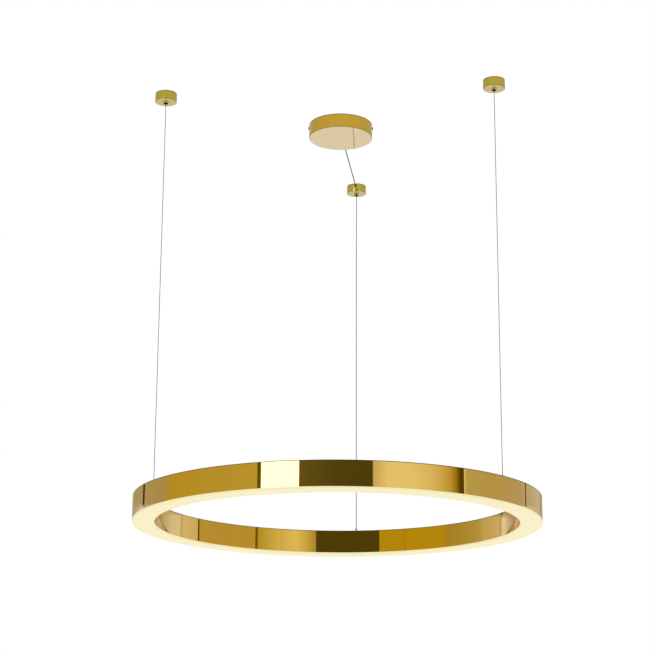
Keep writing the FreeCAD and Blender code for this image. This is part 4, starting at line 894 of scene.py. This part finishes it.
# the flat lower face is a paler gold: a painted highlight
face_highlight_gold = polished_gold("pale gold canopy face, painted highlight", "#eed9ae", 0.05, 60.0, 2.0)
cup = lathe("canopy_cover", [
    (0.0, -CANOPY_HEIGHT),
    *rounding(CANOPY_R - CANOPY_EDGE, -CANOPY_HEIGHT + CANOPY_EDGE, CANOPY_EDGE, 270, 360, 8),
    (CANOPY_R, -RIM_SHADOW_DEPTH),
    *rounding(CANOPY_R - RIM_EDGE, -RIM_EDGE, RIM_EDGE, 0, 90, 2),
    (CANOPY_R - CANOPY_SHEET, 0.0),
    *rounding(CANOPY_R - CANOPY_SHEET - CANOPY_CORNER, -CANOPY_HEIGHT + CANOPY_SHEET + CANOPY_CORNER,
              CANOPY_CORNER, 0, -90, 3),
    (0.0, -CANOPY_HEIGHT + CANOPY_SHEET)], (CANOPY_X, CANOPY_Y), 320)
lead_wall = CANOPY_Y + math.sqrt(CANOPY_R ** 2 - CANOPY_X ** 2)
cup = carve("canopy_cover", cup, prism(lead_notch(0.0), lead_wall - CANOPY_CUT, lead_wall + PAST_RIM))
cover = put("canopy_cover_drawn", cup, wall_gold)
part_faces(cup, face_highlight_gold, cut_edge_and_rim_shadow, edge_dark_reflection_gold)
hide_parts("canopy_cover")
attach(cover, "ceiling")

# ---- The canopy's side screws: two pan heads with a cross recess, plated, one at each end of the bracket.
SCREW_LEVEL = -0.0065
SCREW_GAP = 0.00005           # between the canopy's wall and the heads
HEAD_R = 0.0029
HEAD_HEIGHT = 0.002
HEAD_SIDE = 0.0008            # the upright part of a head
DOME_R = 0.0009
DOME_FLAT_R = 0.0012
DOME_RISE = 0.0001
SHANK_R = 0.002
SHANK_LENGTH = 0.008
SHANK_CHAMFER = 0.0003
screw_gold = polished_gold("gold plated screw", "#8a6a34", 0.2, 6.0, 2.0)
# a pan head: short upright sides under a low dome
head = lathe("pan head", [
    (0.0, -SHANK_LENGTH), (SHANK_R - SHANK_CHAMFER, -SHANK_LENGTH), (SHANK_R, SHANK_CHAMFER - SHANK_LENGTH),
    (SHANK_R, 0.0), (HEAD_R, 0.0), (HEAD_R, HEAD_SIDE),
    *rounding(HEAD_R - DOME_R, HEAD_SIDE, DOME_R, 15, 75, 4),
    (DOME_FLAT_R, HEAD_HEIGHT - DOME_RISE), (0.0, HEAD_HEIGHT)], steps=TURNED_STEPS)
# the cross recess: half the length and half the width of its two slots
wide, thin = 0.0018, 0.00035
cross = prism([(-wide, -thin), (-thin, -thin), (-thin, -wide), (thin, -wide), (thin, -thin), (wide, -thin),
               (wide, thin), (thin, thin), (thin, wide), (-thin, wide), (-thin, thin), (-wide, thin)],
              -HEAD_HEIGHT - 0.001, -HEAD_HEIGHT + 0.0012)
cross.transform(Matrix.Rotation(math.radians(-90), 4, "X"))
head = carve("pan head", head, cross)
pair = bmesh.new()
for side in (0, 180):
    stand = Matrix.Translation((CANOPY_X, CANOPY_Y, SCREW_LEVEL))
    stand = stand @ Matrix.Rotation(math.radians(CANOPY_TURN + side), 4, "Z")
    stand = stand @ Matrix.Translation((CANOPY_R + SCREW_GAP, 0, 0))
    stand = stand @ Matrix.Rotation(math.radians(90), 4, "Y")
    turned_head = head.copy()
    turned_head.transform(stand)
    pair.from_mesh(turned_head)
screws_mesh = bpy.data.meshes.new("canopy_side_screws")
pair.to_mesh(screws_mesh)
pair.free()
screws_mesh.set_sharp_from_angle(angle=SHARP)
side_screws = put("canopy_side_screws_pan", screws_mesh, screw_gold)
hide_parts("canopy_side_screws")
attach(side_screws, "ceiling")

# ---- Rubber: the grommets in the rear cap's and the canopy's notches, and the splice's sleeve.
rubber, tree = start_material("black rubber")
grain = grain_on(tree, 1200.0, 3.0)
rise = bumps(tree, grain, 0.4, 0.00005)
shade = blend(tree, grain, "#171514", "#262321")
surface(tree, {"Base Color": shade, "Roughness": 0.7, "Normal": rise})
dress(rubber, "rear_cap_grommet", "canopy_grommet", "cable_splice")

# ---- White mouldings: the driver's case and lid, the terminal block, the cord clamp and the ring's
# connectors.
nylon, tree = start_material("moulded white nylon")
grain = grain_on(tree, 1600.0, 2.0)
rise = bumps(tree, grain, 0.25, 0.00004)
shade = blend(tree, grain, "#e3e1dc", "#ecebe6")
surface(tree, {"Base Color": shade, "Roughness": 0.48, "Subsurface Weight": 0.05, "Normal": rise})
dress(nylon, "driver_case", "driver_lid", "mains_terminal_block", "cord_clamp", "board_connectors",
      "ring_terminal")

# ---- The mains lead inside the canopy: round white flexible sheath from the terminal block to the driver.
BLOCK_FACE = -32.0            # millimetres from the canopy's middle to the terminal block's face
BLOCK_MIDDLE = -2.7
BLOCK_LEVEL = -0.0075
INPUT_LEAD_R = 0.002
input_points = [
    canopy_point(BLOCK_MIDDLE, BLOCK_FACE, BLOCK_LEVEL),
    canopy_point(BLOCK_MIDDLE, BLOCK_FACE + 7, BLOCK_LEVEL),
    canopy_point(12, BLOCK_FACE + 8, PORT_LEVEL - 0.001),
    canopy_point(30, BLOCK_FACE + 4, PORT_LEVEL - 0.001),
    canopy_point(PORT_PLACE + 14, BLOCK_FACE + 10, PORT_LEVEL),
    canopy_point(PORT_PLACE + 14, 0, PORT_LEVEL),
    canopy_point(PORT_PLACE, 0, PORT_LEVEL)]
white_sheath, tree = start_material("white cable sheath")
grain = grain_on(tree, 300.0, 3.0)
shade = blend(tree, grain, "#dddbd6", "#e9e8e4")
surface(tree, {"Base Color": shade, "Roughness": 0.5})
mains = put("driver_input_lead_sheath", sheathed("driver_input_lead", input_points, INPUT_LEAD_R),
            white_sheath)
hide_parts("driver_input_lead")
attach(mains, "ceiling")

# ---- The lines' hidden ends: the two wires' cut tails in their grippers, the rear cable's tail, bent over
# to the splice, and inside the ring the cable's sleeved cores, from under the rear ferrule to the terminal.
dress(steel, "wire_tails")
dress(tinned, "cable_tail")
RING_LEAD_START = -0.80195
RING_LEAD_R = 0.001
TERMINAL_R = 0.3644
TERMINAL_TURN = 94.6
TERMINAL_LEVEL = -0.8028


def terminal_point(along):
    """A point on the terminal's long axis."""
    turn = math.radians(TERMINAL_TURN) + math.atan2(along, TERMINAL_R)
    reach = math.hypot(TERMINAL_R, along)
    return reach * math.cos(turn), reach * math.sin(turn), TERMINAL_LEVEL


x, y = line_place("rear")
cores_points = [(x, y, RING_LEAD_START), (x, y, RING_LEAD_START - 0.009),
                (x - 0.006, y - 0.003, RING_LEAD_START - 0.01),
                terminal_point(-0.012), terminal_point(-0.006)]
cores = put("ring_lead_cores", sheathed("ring_lead", cores_points, RING_LEAD_R), sheath)
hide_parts("ring_lead")
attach(cores, "ring")

# ---- Inside the ring: the rolled aluminium channel, and the boards with their LEDs.
rolled, tree = start_material("rolled aluminium")
grain = grain_on(tree, 120.0, 4.0)
rough = spread(tree, grain, 0.3, 0.5)
surface(tree, {"Base Color": linear("#c9cbcc"), "Metallic": 1.0, "Roughness": rough})
dress(rolled, "ring_carrier_channel")

mask, tree = start_material("white solder mask")
grain = grain_on(tree, 400.0, 2.0)
shade = blend(tree, grain, "#e9e8df", "#f3f2ec")
surface(tree, {"Base Color": shade, "Roughness": 0.3})
dress(mask, "led_boards")

phosphor, tree = start_material("yellow phosphor under silicone")
grain = grain_on(tree, 900.0, 2.0)
shade = blend(tree, grain, "#f0c93c", "#f6d95a")
surface(tree, {"Base Color": shade, "Roughness": 0.25, "Emission Color": linear("#fff0c8"),
               "Emission Strength": 0.8})
dress(phosphor, "led_chips")
